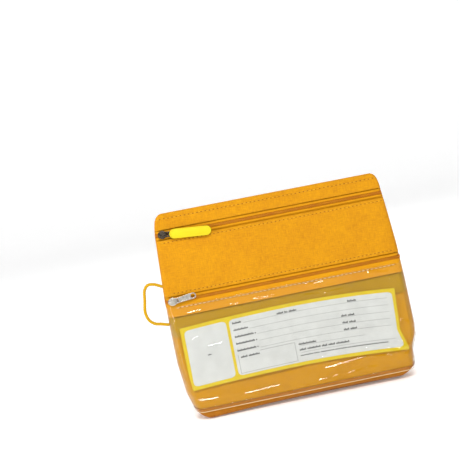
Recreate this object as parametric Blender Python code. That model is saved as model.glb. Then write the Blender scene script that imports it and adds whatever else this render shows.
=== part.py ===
"""First aid kit: a zip pouch with a boxed bottom, a clear card pocket and its contents.

Metres, +Z up. The pouch stands on its bottom, with the zips facing -Y and the cross facing +Y,
and the origin is the middle of the bottom. Both faces are flat and lean towards each other.
A rigid piece that lies on a face is modelled in that face's frame: x along the face, y into the
pouch and z up the face. A place on a face is given as x, drop (the distance down the face from
its top edge) and out (the distance in front of the fabric's outer surface).
"""

import math

import bmesh
import bpy
from mathutils import Matrix, Vector

MM = 0.001
FRONT = -1
BACK = 1
GAP = 0.3 * MM

# Pouch
TOP_Z = 200 * MM
FOOT_Z = 12 * MM
FOOT_HALF_DEPTH = 20.5 * MM
TOP_HALF_DEPTH = 1.8 * MM
LEAN = math.atan2(FOOT_HALF_DEPTH - TOP_HALF_DEPTH, TOP_Z - FOOT_Z)
FACE_LENGTH = (TOP_Z - FOOT_Z) / math.cos(LEAN)
SIDE_OUTLINE_MM = (
    (0, 100),
    (12, 105),
    (30, 108.6),
    (55, 113),
    (80, 115),
    (120, 114.8),
    (180, 111),
    (188, 110.3),
    (194, 109.1),
    (197, 107.4),
    (199, 105.1),
    (200, 102.5),
)
CORNER = 3 * MM
CORNER_STEPS = 5
SEAM_GAP = 0.4 * MM
INNER_SEAM_GAP = 1.2 * MM
CANVAS = 0.9 * MM
PVC = 0.5 * MM

# Drops of the edges on the zip face, from the top edge
HEADER_FOOT = 15.5 * MM
MAIN_ZIP = 20 * MM
FRONT_PANEL_TOP = 25.3 * MM
FRONT_PANEL_FOOT = 79.3 * MM
POCKET_ZIP = 84 * MM
CLEAR_TOP = 88.9 * MM
FACING_TOP = 99 * MM
FACING_FOOT = 118 * MM
DIVIDER_TOP = 89 * MM
DIVIDER_INSET = 4.6 * MM
FACING_INSET = 2.6 * MM
FACING = 0.4 * MM

# Zips
TAPE = 0.8 * MM
TAPE_OUT = -1.2 * MM
TAPE_WIDTH = 9 * MM
COIL_OUT = 0.5 * MM
COIL_WIDTH = 1.55 * MM
COIL_SLOT = 0.75 * MM
COIL_GAP = 0.3 * MM
MAIN_ZIP_HALF = 107.5 * MM
POCKET_ZIP_HALF = 111 * MM
MAIN_SLIDER_X = -104 * MM
POCKET_SLIDER_X = -106.5 * MM

# Slider body, which both zips share
PLATE_HALF_LENGTH = 4.8 * MM
PLATE_HALF_WIDTH = 3.9 * MM
PLATE = 0.8 * MM
PLATE_SHOULDER = 0.35  # shares of the half length and half width
PLATE_TAIL_START = 0.8
PLATE_TAIL_WIDTH = 0.85
PLATE_TAIL_END_WIDTH = 0.7
PLATE_NOSE_STEP = 20
FLANGE_START = -0.3
FLANGE_END = 0.75
PLATE_CLEARANCE = 0.3 * MM
LOWER_PLATE_OUT = -2.4 * MM
FLANGE = 0.6 * MM
FLANGE_DROP = 0.7 * MM
POST_HALF_LENGTH = 1.1 * MM
POST_HALF_WIDTH = 0.4 * MM
POST_X = -3.2 * MM
BAIL_HALF_LENGTH = 4 * MM
BAIL_HALF_WIDTH = 1 * MM
BAIL_BAR = 0.8 * MM
BAIL_SHOULDER = 0.7
BAIL_RISE = 1.3 * MM
PULL_AXIS_RISE = 0.95 * MM
BITE = 0.1 * MM

# Pulls
PULL_THICKNESS = 1 * MM
PULL_BAR = 0.55 * MM
PULL_HOLE_NEAR = 0.85 * MM
PULL_HOLE_FAR = 5.2 * MM
PULL_HOLE_HALF = 1.45 * MM
PULL_END_STEPS = 12
LINK_HALF_WIDTH = 2.6 * MM
LINK_TAIL = 16 * MM
GRIP_START = 6.2 * MM
GRIP_END = 46 * MM
GRIP_HALF_WIDTH = 4.6 * MM
GRIP_HALF_THICKNESS = 1.5 * MM
GRIP_RIM = 1.1 * MM
GRIP_RECESS = 0.35 * MM
TAB_END = 22.5 * MM
TAB_HALF_WIDTH = 3.1 * MM
TAB_EYE_RADIUS = 2.1 * MM
TAB_EYE_X = 19.4 * MM
TAB_PANEL = (7.6 * MM, 15.6 * MM)
TAB_PANEL_HALF = 1.9 * MM
TAB_PANEL_DEPTH = 0.2 * MM
TAB_TILT = math.radians(6.5)
GRIP_TILT = math.radians(-5)
TAB_EYE_SIDES = 20

# Card, cross and seams
CARD_HALF_WIDTH = 104 * MM
CARD_TOP = 110.5 * MM
CARD_HEIGHT = 60.5 * MM
CARD_INSET = 1.4 * MM
CARD = 0.4 * MM
CROSS_HALF = 74.5 * MM
CROSS_ARM_HALF = 23.25 * MM
CROSS_MIDDLE = 94 * MM
CROSS_FILM = 0.4 * MM
BINDING_HALF = 0.35 * MM
BINDING_WIDTH = 6 * MM
BINDING_INSET = 1.8 * MM
BINDING_FOOT_Z = 12 * MM
BINDING_TOP_Z = 172 * MM
TOP_BINDING_HALF_LENGTH = 100 * MM
TOP_BINDING_HALF_THICKNESS = 0.5 * MM
TOP_BINDING_Z = (189.5 * MM, 199 * MM)
BOTTOM_OUTER_MM = ((0, 4), (1.2, 1.3), (4, 0), (11.7, 0))
BOTTOM_INNER_MM = ((11.7, 1), (4.6, 1), (1.2, 4.4))

# Elastic loop on the left seam, as the points its middle line goes through
LOOP_DIAMETER = 3 * MM
LOOP_POINTS_MM = (
    (-116, 0, 132.5),
    (-121.5, 0, 135),
    (-127.4, 0, 135.2),
    (-131.2, 0, 130.5),
    (-132.8, 0, 121),
    (-134.4, 0, 111),
    (-132.6, 0, 102.8),
    (-127.5, 0, 97.8),
    (-121.5, 0, 96.2),
    (-116, 0, 94.5),
)
LOOP_STEPS = 4
LOOP_BEVEL_RESOLUTION = 2

# Contents
FLOOR_Z = 1.7 * MM
BANDAGE_RADIUS = 13 * MM
BANDAGE_LENGTH = 75 * MM
BANDAGE_PLACE = (-52 * MM, 1.5 * MM)
GAUZE_RADIUS = 11 * MM
GAUZE_LENGTH = 50 * MM
GAUZE_PLACE = (17 * MM, 1 * MM)
ROLL_SIDES = 32
TAPE_ROLL_RADIUS = 22 * MM
TAPE_ROLL_WIDTH = 12.5 * MM
TAPE_ROLL_PLACE = (70 * MM, -3 * MM)
TAPE_CORE_RADIUS = 14.5 * MM
TAPE_CORE_BORE = 13.3 * MM
PACKETS = (
    # name, side, x, foot z, half width, height, out of the outer face, thickness, kind
    ("gauze_pad_1", FRONT, -52, 30, 38, 76, -6, 2.4, "paper"),
    ("gauze_pad_2", FRONT, -52, 30, 38, 76, -8.8, 2.4, "paper"),
    ("plaster_box", FRONT, 17, 26, 24, 78, -6, 4.6, "plaster_card"),
    ("wipe_sachet_1", FRONT, 70, 50, 28, 56, -6, 1.5, "foil"),
    ("wipe_sachet_2", FRONT, 70, 50, 28, 56, -7.9, 1.5, "foil"),
    ("foil_blanket", BACK, -52, 31, 36, 76, -5.8, 3.9, "blanket_foil"),
)
PACKET_BEVEL = 0.4 * MM

# Scissors and tweezers, behind the packets, against the cross face
SCISSORS_X = -18 * MM
SCISSORS_DROP = 123 * MM
SCISSORS_OUT = -2.2 * MM
STEEL = 1.2 * MM
RIVET_RADIUS = 1.6 * MM
RIVET_HEAD_RADIUS = 3 * MM
RIVET_HEAD = 0.5 * MM
RIVET_SIDES = 20
HALF_OUTLINE_MM = (
    (-3.6, 4),
    (-3.2, 20),
    (-0.4, 44),
    (0.6, 44),
    (1.4, 20),
    (3.6, 5),
    (3.6, -5),
    (5.4, -16),
    (8.4, -29.4),
    (5, -30.6),
    (1.2, -17),
    (-3.6, -5),
)
RING_PLACE_MM = (10.6, -38)
RING_RADIUS = 10.2 * MM
RING_BORE = 7.2 * MM
RING_SIDES = 28
TWEEZERS_X = 62 * MM
TWEEZERS_DROP = 84 * MM
TWEEZERS_OUT = -1.9 * MM
TWEEZERS_LENGTH = 78 * MM
TWEEZERS_WIDTH = 4.2 * MM
TWEEZERS_STEEL = 0.9 * MM
TWEEZERS_WELD = 9 * MM
TWEEZERS_SPREAD = 5.2 * MM
TWEEZERS_TIP = 2.9 * MM
TWEEZERS_BOW = (0.6, 0.85)  # shares of the length


# ---------------------------------------------------------------- materials


def material(name, colour, roughness, metallic=0.0):
    found = bpy.data.materials.get(name)
    if found:
        return found
    made = bpy.data.materials.new(name)
    made.use_nodes = True
    shader = made.node_tree.nodes["Principled BSDF"]
    shader.inputs["Base Color"].default_value = (*colour, 1)
    shader.inputs["Roughness"].default_value = roughness
    shader.inputs["Metallic"].default_value = metallic
    made.diffuse_color = (*colour, 1)
    return made


def canvas():
    return material("canvas", (0.87, 0.37, 0.02), 0.8)


def zip_tape():
    return material("zip_tape", (0.82, 0.3, 0.015), 0.8)


def zip_coil():
    return material("zip_coil", (0.78, 0.27, 0.012), 0.45)


def nickel():
    return material("nickel", (0.62, 0.6, 0.56), 0.28, 1.0)


def gunmetal():
    return material("gunmetal", (0.1, 0.09, 0.08), 0.35, 1.0)


def yellow_plastic():
    return material("yellow_plastic", (1.0, 0.76, 0.0), 0.4)


def elastic():
    return material("elastic", (0.86, 0.6, 0.02), 0.75)


def clear_pvc():
    return material("clear_pvc", (0.9, 0.9, 0.88), 0.08)


def facing():
    return material("facing", (0.6, 0.37, 0.04), 0.5)


def card_stock():
    return material("card_stock", (0.8, 0.8, 0.78), 0.5)


def white_film():
    return material("white_film", (0.85, 0.85, 0.85), 0.5)


def steel():
    return material("steel", (0.68, 0.68, 0.7), 0.22, 1.0)


def crepe():
    return material("crepe", (0.8, 0.66, 0.5), 0.9)


def gauze():
    return material("gauze", (0.86, 0.86, 0.84), 0.9)


def core_card():
    return material("core_card", (0.5, 0.4, 0.28), 0.85)


PACKET_LOOKS = {
    "paper": ((0.84, 0.85, 0.86), 0.6, 0.0),
    "plaster_card": ((0.72, 0.75, 0.8), 0.5, 0.0),
    "foil": ((0.75, 0.76, 0.78), 0.3, 0.6),
    "blanket_foil": ((0.8, 0.8, 0.82), 0.2, 1.0),
}


# ---------------------------------------------------------------- the pouch's outline


def half_width(z):
    """Half the width of the pouch at a height, between the points of its side outline."""
    height = z / MM
    for (low, start), (high, end) in zip(SIDE_OUTLINE_MM, SIDE_OUTLINE_MM[1:]):
        if height <= high:
            break
    share = (height - low) / (high - low)
    return (start + share * (end - start)) * MM


def half_depth(z):
    """Half the depth of the pouch at a height. The boxed bottom has upright walls."""
    return TOP_HALF_DEPTH + (TOP_Z - max(z, FOOT_Z)) * math.tan(LEAN)


def height_at(drop):
    return TOP_Z - drop * math.cos(LEAN)


def half_section(z, inset, end_gap):
    """One face's outline at a height, from left to right, as (x, distance from the middle)."""
    width = half_width(z) - inset
    depth = half_depth(z) - inset
    last = math.acos(min(end_gap / depth, 1))
    turns = [last * step / CORNER_STEPS for step in range(CORNER_STEPS + 1)]
    right = [(width - CORNER + CORNER * math.sin(a), depth * math.cos(a)) for a in turns]
    return [(-x, y) for x, y in reversed(right)] + right


def levels(low, high):
    """The heights where a fabric piece needs a row of points."""
    between = [z * MM for z, _ in SIDE_OUTLINE_MM if low < z * MM < high]
    return [low, *between, high]


# ---------------------------------------------------------------- making objects


def finish(name, mesh, paint, smooth_angle=35):
    """The object for a bmesh, with its faces turned outwards and its round edges smooth."""
    bmesh.ops.recalc_face_normals(mesh, faces=mesh.faces)
    data = bpy.data.meshes.new(name)
    mesh.to_mesh(data)
    mesh.free()
    data.materials.append(paint)
    data.shade_smooth()
    data.set_sharp_from_angle(angle=math.radians(smooth_angle))
    made = bpy.data.objects.new(name, data)
    bpy.context.scene.collection.objects.link(made)
    return made


def grid(mesh, rows):
    """Vertices for rows of points, and the faces between neighbouring rows."""
    made = [[mesh.verts.new(point) for point in row] for row in rows]
    for low, high in zip(made, made[1:]):
        for a, b, c, d in zip(low, low[1:], high[1:], high):
            mesh.faces.new((a, b, c, d))
    return made


def fabric(name, side, top, foot, inset, thickness, paint, end_gap=SEAM_GAP):
    """A fabric layer of one face, from seam to seam, between two drops from the top edge."""
    heights = levels(height_at(foot), height_at(top))
    mesh = bmesh.new()
    sheets = []
    for depth in (inset, inset + thickness):
        rows = [[(x, side * y, z) for x, y in half_section(z, depth, end_gap)] for z in heights]
        sheets.append(grid(mesh, rows))
    outer, inner = sheets
    edges = [
        (outer[0], inner[0]),
        (outer[-1], inner[-1]),
        ([row[0] for row in outer], [row[0] for row in inner]),
        ([row[-1] for row in outer], [row[-1] for row in inner]),
    ]
    for near, far in edges:
        for a, b, c, d in zip(near, near[1:], far[1:], far):
            mesh.faces.new((a, b, c, d))
    return finish(name, mesh, paint)


def slab(low, high):
    """A bmesh box between two corners."""
    mesh = bmesh.new()
    size = Vector(high) - Vector(low)
    middle = (Vector(high) + Vector(low)) / 2
    place = Matrix.Translation(middle) @ Matrix.Diagonal((*size, 1))
    bmesh.ops.create_cube(mesh, size=1, matrix=place)
    return mesh


def box(name, low, high, paint):
    return finish(name, slab(low, high), paint)


def plate(name, outline, near, far, paint):
    """An outline of (x, z) points, extruded from y = near to y = far."""
    mesh = bmesh.new()
    face = mesh.faces.new([mesh.verts.new((x, near, z)) for x, z in outline])
    grown = bmesh.ops.extrude_face_region(mesh, geom=[face])["geom"]
    moved = [item for item in grown if isinstance(item, bmesh.types.BMVert)]
    bmesh.ops.translate(mesh, verts=moved, vec=(0, far - near, 0))
    return finish(name, mesh, paint)


def round_bar(name, radius, length, axis, sides, paint):
    """A cylinder about its own middle, along the x or the y axis."""
    mesh = bmesh.new()
    turn = Matrix.Rotation(math.pi / 2, 4, "Y" if axis == "X" else "X")
    bmesh.ops.create_cone(
        mesh,
        cap_ends=True,
        segments=sides,
        radius1=radius,
        radius2=radius,
        depth=length,
        matrix=turn,
    )
    return finish(name, mesh, paint)


def combine(base, others, operation):
    """Unites others with base, or cuts them out of it. They stay as hidden guides."""
    for other in others:
        change = base.modifiers.new(other.name, "BOOLEAN")
        change.operation = operation
        change.object = other
        other.hide_render = True
        other.display_type = "WIRE"
        other.parent = base
    return base


def bevel(made, width, steps=2):
    change = made.modifiers.new("edges", "BEVEL")
    change.width = width
    change.segments = steps
    change.limit_method = "ANGLE"
    return made


def face_point(side, x, drop, out):
    """World place of a point on a face."""
    y = TOP_HALF_DEPTH + drop * math.sin(LEAN) + out * math.cos(LEAN)
    return Vector((x, side * y, TOP_Z - drop * math.cos(LEAN) + out * math.sin(LEAN)))


def on_face(made, side, x, drop, out):
    """Puts an object at a place on a face, turned to that face's frame."""
    turn = Matrix.Rotation(-LEAN, 4, "X")
    if side == BACK:
        turn = Matrix.Rotation(math.pi, 4, "Z") @ turn
    made.rotation_euler = turn.to_euler()
    made.location = face_point(side, x, drop, out)
    return made


def ring_outline(radius, sides, middle=(0, 0)):
    turns = [2 * math.pi * step / sides for step in range(sides)]
    return [(middle[0] + radius * math.cos(a), middle[1] + radius * math.sin(a)) for a in turns]


# ---------------------------------------------------------------- canvas, film and seams


def shell():
    fabric("header_strip", FRONT, 0, HEADER_FOOT, 0, CANVAS, canvas())
    fabric("front_panel", FRONT, FRONT_PANEL_TOP, FRONT_PANEL_FOOT, 0, CANVAS, canvas())
    fabric("clear_pocket", FRONT, CLEAR_TOP, FACE_LENGTH, 0, PVC, clear_pvc())
    gap = INNER_SEAM_GAP
    fabric("divider_panel", FRONT, DIVIDER_TOP, FACE_LENGTH, DIVIDER_INSET, CANVAS, canvas(), gap)
    fabric("pocket_facing", FRONT, FACING_TOP, FACING_FOOT, FACING_INSET, FACING, facing(), gap)
    fabric("back_panel", BACK, 0, FACE_LENGTH, 0, CANVAS, canvas())


def bottom_ring(mesh, z, inset):
    front = half_section(z, inset, 0)
    loop = [(x, -y) for x, y in front] + [(x, y) for x, y in reversed(front)][1:-1]
    return [mesh.verts.new((x, y, z)) for x, y in loop]


def bottom_gusset():
    """The boxed bottom: a shallow canvas tray with a rounded lower edge."""
    mesh = bmesh.new()
    profile = (*BOTTOM_OUTER_MM, *BOTTOM_INNER_MM)
    rings = [bottom_ring(mesh, z * MM, inset * MM) for z, inset in profile]
    for low, high in zip(rings, rings[1:]):
        for a, b, c, d in zip(low, low[1:] + low[:1], high[1:] + high[:1], high):
            mesh.faces.new((a, b, c, d))
    mesh.faces.new(rings[0])
    mesh.faces.new(rings[-1])
    return finish("bottom_gusset", mesh, canvas())


def cross_emblem():
    near, far = CROSS_ARM_HALF, CROSS_HALF
    quarter = [(near, far), (near, near), (far, near)]
    outline = []
    for _ in range(4):
        outline += quarter
        quarter = [(z, -x) for x, z in quarter]
    made = plate("cross_emblem", outline, -GAP - CROSS_FILM, -GAP, white_film())
    return on_face(made, BACK, 0, CROSS_MIDDLE, 0)


def info_card():
    low = (-CARD_HALF_WIDTH, CARD_INSET, -CARD_HEIGHT)
    high = (CARD_HALF_WIDTH, CARD_INSET + CARD, 0)
    return on_face(box("info_card", low, high, card_stock()), FRONT, 0, CARD_TOP, 0)


def seam_binding(name, side):
    """The bound seam allowance inside a side seam, which follows the pouch's outline."""
    mesh = bmesh.new()
    heights = levels(BINDING_FOOT_Z, BINDING_TOP_Z)
    outer = [half_width(z) - BINDING_INSET for z in heights]
    loop = [(side * x, z) for x, z in zip(outer, heights)]
    loop += [(side * (x - BINDING_WIDTH), z) for x, z in reversed(list(zip(outer, heights)))]
    near = [mesh.verts.new((x, -BINDING_HALF, z)) for x, z in loop]
    far = [mesh.verts.new((x, BINDING_HALF, z)) for x, z in loop]
    mesh.faces.new(near)
    mesh.faces.new(far)
    for a, b, c, d in zip(near, near[1:] + near[:1], far[1:] + far[:1], far):
        mesh.faces.new((a, b, c, d))
    return finish(name, mesh, zip_tape())


def top_binding():
    half, thick = TOP_BINDING_HALF_LENGTH, TOP_BINDING_HALF_THICKNESS
    low_z, high_z = TOP_BINDING_Z
    return box("top_seam_binding", (-half, -thick, low_z), (half, thick, high_z), zip_tape())


# ---------------------------------------------------------------- zips


def zip_side(name, middle, half, up):
    """A zip's tape and coil on one side of its middle line: up is 1 for the upper side."""
    tape_low, tape_high = sorted((up * COIL_SLOT, up * TAPE_WIDTH))
    tape_near, tape_far = -TAPE_OUT, -TAPE_OUT + TAPE
    tape = box(f"{name}_tape", (-half, tape_near, tape_low), (half, tape_far, tape_high), zip_tape())
    on_face(tape, FRONT, 0, middle, 0)
    coil_low, coil_high = sorted((up * COIL_SLOT, up * (COIL_SLOT + COIL_WIDTH)))
    coil_far = -TAPE_OUT - COIL_GAP
    coil = box(f"{name}_coil", (-half, -COIL_OUT, coil_low), (half, coil_far, coil_high), zip_coil())
    on_face(coil, FRONT, 0, middle, 0)


def slider_plate_outline():
    """The slider plate: a round nose, and a narrower square tail."""
    long, wide = PLATE_HALF_LENGTH, PLATE_HALF_WIDTH
    shoulder = PLATE_SHOULDER * long
    nose = [math.radians(angle) for angle in range(90, 271, PLATE_NOSE_STEP)]
    points = [(-shoulder + (long - shoulder) * math.cos(a), wide * math.sin(a)) for a in nose]
    tail = PLATE_TAIL_WIDTH * wide
    start, end = PLATE_TAIL_START * long, PLATE_TAIL_END_WIDTH * tail
    return [*points, (start, -tail), (long, -end), (long, end), (start, tail)]


def bail(name, paint, top):
    """The slider's arched bridge, which the pull hangs on."""
    long, wide = BAIL_HALF_LENGTH, BAIL_HALF_WIDTH
    crown = top - PULL_AXIS_RISE - BAIL_RISE
    shoulder = BAIL_SHOULDER * long
    outer = [(-long, top + BITE), (-long, crown), (-shoulder, crown - BAIL_BAR)]
    outer += [(-x, y) for x, y in reversed(outer)]
    inner_x = long - BAIL_BAR
    inner = [(inner_x, top + BITE), (inner_x, crown), (-inner_x, crown), (-inner_x, top + BITE)]
    mesh = bmesh.new()
    low = [mesh.verts.new((x, y, -wide)) for x, y in outer + inner]
    high = [mesh.verts.new((x, y, wide)) for x, y in outer + inner]
    mesh.faces.new(low)
    mesh.faces.new(high)
    for a, b, c, d in zip(low, low[1:] + low[:1], high[1:] + high[:1], high):
        mesh.faces.new((a, b, c, d))
    return finish(name, mesh, paint)


def slider_body(name, x, drop, paint):
    """Upper and lower plates joined by the post between the coils, with the bail on top."""
    long, wide = PLATE_HALF_LENGTH, PLATE_HALF_WIDTH
    plate_low = -COIL_OUT - PLATE_CLEARANCE
    top = plate_low - PLATE
    made = plate(name, slider_plate_outline(), top, plate_low, paint)
    lower_top = -LOWER_PLATE_OUT
    lower = plate(f"{name}_lower", slider_plate_outline(), lower_top, lower_top + PLATE, paint)
    post_low = (POST_X - POST_HALF_LENGTH, plate_low - BITE, -POST_HALF_WIDTH)
    post_high = (POST_X + POST_HALF_LENGTH, lower_top + BITE, POST_HALF_WIDTH)
    extras = [lower, box(f"{name}_post", post_low, post_high, paint), bail(f"{name}_bail", paint, top)]
    for up in (-1, 1):
        tail = PLATE_TAIL_WIDTH * wide
        edges = sorted((up * (tail - FLANGE), up * tail))
        low = (FLANGE_START * long, plate_low - BITE, edges[0])
        high = (FLANGE_END * long, plate_low + FLANGE_DROP, edges[1])
        extras.append(box(f"{name}_flange_{'upper' if up > 0 else 'lower'}", low, high, paint))
    combine(made, extras, "UNION")
    return on_face(made, FRONT, x, drop, 0)


def pull_blank(name, half, end, paint):
    """A pull's metal strip about its hinge axis, with the hole that the bail passes through."""
    turns = [math.pi * step / PULL_END_STEPS - math.pi / 2 for step in range(PULL_END_STEPS + 1)]
    outline = [(end - half + half * math.cos(a), half * math.sin(a)) for a in turns]
    outline += [(-PULL_BAR, half), (-PULL_BAR, -half)]
    made = plate(name, outline, -PULL_THICKNESS / 2, PULL_THICKNESS / 2, paint)
    hole_low = (PULL_HOLE_NEAR, -PULL_THICKNESS, -PULL_HOLE_HALF)
    hole_high = (PULL_HOLE_FAR, PULL_THICKNESS, PULL_HOLE_HALF)
    return combine(made, [box(f"{name}_hole", hole_low, hole_high, paint)], "DIFFERENCE")


def pull_out():
    return COIL_OUT + PLATE_CLEARANCE + PLATE + PULL_AXIS_RISE


def stadium(start, end, half):
    turns = [math.pi * step / PULL_END_STEPS - math.pi / 2 for step in range(PULL_END_STEPS + 1)]
    right = [(end - half + half * math.cos(a), half * math.sin(a)) for a in turns]
    left = [(start + half - half * math.cos(a), -half * math.sin(a)) for a in turns]
    return right + left


def hang_pull(made, x, drop, tilt):
    """Puts a pull on its slider's bail, turned by tilt in the plane of the face."""
    on_face(made, FRONT, x, drop, pull_out())
    turn = made.rotation_euler.to_matrix() @ Matrix.Rotation(-tilt, 3, "Y")
    made.rotation_euler = turn.to_euler()


def main_pull():
    """A short metal link, and the moulded yellow grip with a raised rim around it."""
    link = pull_blank("main_pull_link", LINK_HALF_WIDTH, LINK_TAIL, gunmetal())
    hang_pull(link, MAIN_SLIDER_X, MAIN_ZIP, GRIP_TILT)
    thick = GRIP_HALF_THICKNESS
    outline = stadium(GRIP_START, GRIP_END, GRIP_HALF_WIDTH)
    grip = plate("main_pull_grip", outline, -thick, thick, yellow_plastic())
    inset = GRIP_RIM
    inner = stadium(GRIP_START + inset, GRIP_END - inset, GRIP_HALF_WIDTH - inset)
    recess = plate("main_pull_recess", inner, -2 * thick, -thick + GRIP_RECESS, yellow_plastic())
    room = GAP + LINK_HALF_WIDTH
    low = (GRIP_START - GAP, -PULL_THICKNESS / 2 - GAP, -room)
    high = (LINK_TAIL + GAP, PULL_THICKNESS / 2 + GAP, room)
    slot = box("main_pull_slot", low, high, yellow_plastic())
    combine(grip, [recess, slot], "DIFFERENCE")
    hang_pull(grip, MAIN_SLIDER_X, MAIN_ZIP, GRIP_TILT)


def pocket_pull():
    """A flat metal tab with a sunk panel and a round eye near its end."""
    made = pull_blank("pocket_pull", TAB_HALF_WIDTH, TAB_END, nickel())
    eye_outline = ring_outline(TAB_EYE_RADIUS, TAB_EYE_SIDES, (TAB_EYE_X, 0))
    eye = plate("pocket_pull_eye", eye_outline, -PULL_THICKNESS, PULL_THICKNESS, nickel())
    start, end = TAB_PANEL
    low = (start, -PULL_THICKNESS, -TAB_PANEL_HALF)
    high = (end, -PULL_THICKNESS / 2 + TAB_PANEL_DEPTH, TAB_PANEL_HALF)
    combine(made, [eye, box("pocket_pull_panel", low, high, nickel())], "DIFFERENCE")
    hang_pull(made, POCKET_SLIDER_X, POCKET_ZIP, TAB_TILT)


def zips():
    for name, middle, half in (
        ("main_zip", MAIN_ZIP, MAIN_ZIP_HALF),
        ("pocket_zip", POCKET_ZIP, POCKET_ZIP_HALF),
    ):
        zip_side(f"{name}_upper", middle, half, 1)
        zip_side(f"{name}_lower", middle, half, -1)
    slider_body("main_slider", MAIN_SLIDER_X, MAIN_ZIP, gunmetal())
    slider_body("pocket_slider", POCKET_SLIDER_X, POCKET_ZIP, nickel())
    main_pull()
    pocket_pull()


# ---------------------------------------------------------------- elastic loop


def smooth_route(points, steps):
    """Points along a smooth curve (Catmull-Rom) through a route's own points."""
    ends = [2 * points[0] - points[1], *points, 2 * points[-1] - points[-2]]
    found = []
    for a, b, c, d in zip(ends, ends[1:], ends[2:], ends[3:]):
        for step in range(steps):
            t = step / steps
            bend = 2 * b + (c - a) * t + (2 * a - 5 * b + 4 * c - d) * t**2
            found.append((bend + (3 * b - a - 3 * c + d) * t**3) / 2)
    return [*found, points[-1]]


def side_loop():
    """The elastic cord loop. Its object's origin is on the seam line that it swings about."""
    seam = Vector(LOOP_POINTS_MM[-1]) * MM
    route = smooth_route([Vector(point) * MM - seam for point in LOOP_POINTS_MM], LOOP_STEPS)
    data = bpy.data.curves.new("side_loop", "CURVE")
    data.dimensions = "3D"
    data.bevel_depth = LOOP_DIAMETER / 2
    data.bevel_resolution = LOOP_BEVEL_RESOLUTION
    data.use_fill_caps = True
    spline = data.splines.new("POLY")
    spline.points.add(len(route) - 1)
    for point, place in zip(spline.points, route):
        point.co = (*place, 1)
    data.materials.append(elastic())
    made = bpy.data.objects.new("side_loop", data)
    made.location = seam
    bpy.context.scene.collection.objects.link(made)


# ---------------------------------------------------------------- contents


def rolls():
    bandage = round_bar("bandage_roll", BANDAGE_RADIUS, BANDAGE_LENGTH, "X", ROLL_SIDES, crepe())
    bandage.location = (*BANDAGE_PLACE, FLOOR_Z + BANDAGE_RADIUS)
    roll = round_bar("gauze_roll", GAUZE_RADIUS, GAUZE_LENGTH, "X", ROLL_SIDES, gauze())
    roll.location = (*GAUZE_PLACE, FLOOR_Z + GAUZE_RADIUS)


def ring(name, radius, bore, width, sides, paint):
    """A tube about its own middle, along the y axis."""
    mesh = bmesh.new()
    loops = []
    for r, y in ((radius, -width / 2), (radius, width / 2), (bore, width / 2), (bore, -width / 2)):
        loops.append([mesh.verts.new((x, y, z)) for x, z in ring_outline(r, sides)])
    for low, high in zip(loops, loops[1:] + loops[:1]):
        for a, b, c, d in zip(low, low[1:] + low[:1], high[1:] + high[:1], high):
            mesh.faces.new((a, b, c, d))
    return finish(name, mesh, paint)


def adhesive_tape():
    place = (*TAPE_ROLL_PLACE, FLOOR_Z + TAPE_ROLL_RADIUS)
    bore = TAPE_CORE_RADIUS + GAP
    wound = ring("adhesive_tape", TAPE_ROLL_RADIUS, bore, TAPE_ROLL_WIDTH, ROLL_SIDES, gauze())
    wound.location = place
    width = TAPE_ROLL_WIDTH
    core = ring("tape_core", TAPE_CORE_RADIUS, TAPE_CORE_BORE, width, ROLL_SIDES, core_card())
    core.location = place


def packets():
    for name, side, x, foot, half, height, out, thickness, kind in PACKETS:
        low = (-half * MM, 0, 0)
        high = (half * MM, thickness * MM, height * MM)
        colour, roughness, metallic = PACKET_LOOKS[kind]
        made = box(name, low, high, material(kind, colour, roughness, metallic))
        bevel(made, PACKET_BEVEL)
        drop = (TOP_Z - foot * MM) / math.cos(LEAN)
        on_face(made, side, x * MM, drop, out * MM)


def scissors_half(name, out, mirror):
    """One half of the scissors about its rivet: blade up, shank and finger ring down."""
    outline = [(mirror * x * MM, z * MM) for x, z in HALF_OUTLINE_MM]
    made = plate(name, outline, 0, STEEL, steel())
    middle = (mirror * RING_PLACE_MM[0] * MM, RING_PLACE_MM[1] * MM)
    rim = plate(f"{name}_rim", ring_outline(RING_RADIUS, RING_SIDES, middle), 0, STEEL, steel())
    bore_outline = ring_outline(RING_BORE, RING_SIDES, middle)
    bore = plate(f"{name}_bore", bore_outline, -STEEL, 2 * STEEL, steel())
    hole_outline = ring_outline(RIVET_RADIUS + GAP, RIVET_SIDES)
    hole = plate(f"{name}_hole", hole_outline, -STEEL, 2 * STEEL, steel())
    combine(made, [rim], "UNION")
    combine(made, [bore, hole], "DIFFERENCE")
    return on_face(made, BACK, SCISSORS_X, SCISSORS_DROP, out)


def scissors():
    scissors_half("scissors_fixed_half", SCISSORS_OUT, 1)
    scissors_half("scissors_moving_half", SCISSORS_OUT - STEEL - GAP, -1)
    length = 2 * STEEL + GAP
    shaft_outline = ring_outline(RIVET_RADIUS, RIVET_SIDES)
    made = plate("scissors_rivet", shaft_outline, -GAP - BITE, length + GAP + BITE, steel())
    heads = []
    for place, near in (("outer", -GAP - RIVET_HEAD), ("inner", length + GAP)):
        outline = ring_outline(RIVET_HEAD_RADIUS, RIVET_SIDES)
        heads.append(plate(f"scissors_rivet_{place}", outline, near, near + RIVET_HEAD, steel()))
    combine(made, heads, "UNION")
    on_face(made, BACK, SCISSORS_X, SCISSORS_DROP, SCISSORS_OUT)


def tweezers_arm(name, turn):
    """One springy arm: flat at the weld, bowed out, and closing again towards its tip."""
    gap = GAP / 2
    length = TWEEZERS_LENGTH
    middle_line = [
        (gap, 0),
        (gap, -TWEEZERS_WELD),
        *((TWEEZERS_SPREAD, -share * length) for share in TWEEZERS_BOW),
        (TWEEZERS_TIP + gap, -length),
    ]
    thick = TWEEZERS_STEEL
    loop = middle_line + [(x + thick, z) for x, z in reversed(middle_line)]
    outline = [(turn * x, z) for x, z in loop]
    made = plate(name, outline, 0, TWEEZERS_WIDTH, steel())
    return on_face(made, BACK, TWEEZERS_X, TWEEZERS_DROP, TWEEZERS_OUT)


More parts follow.
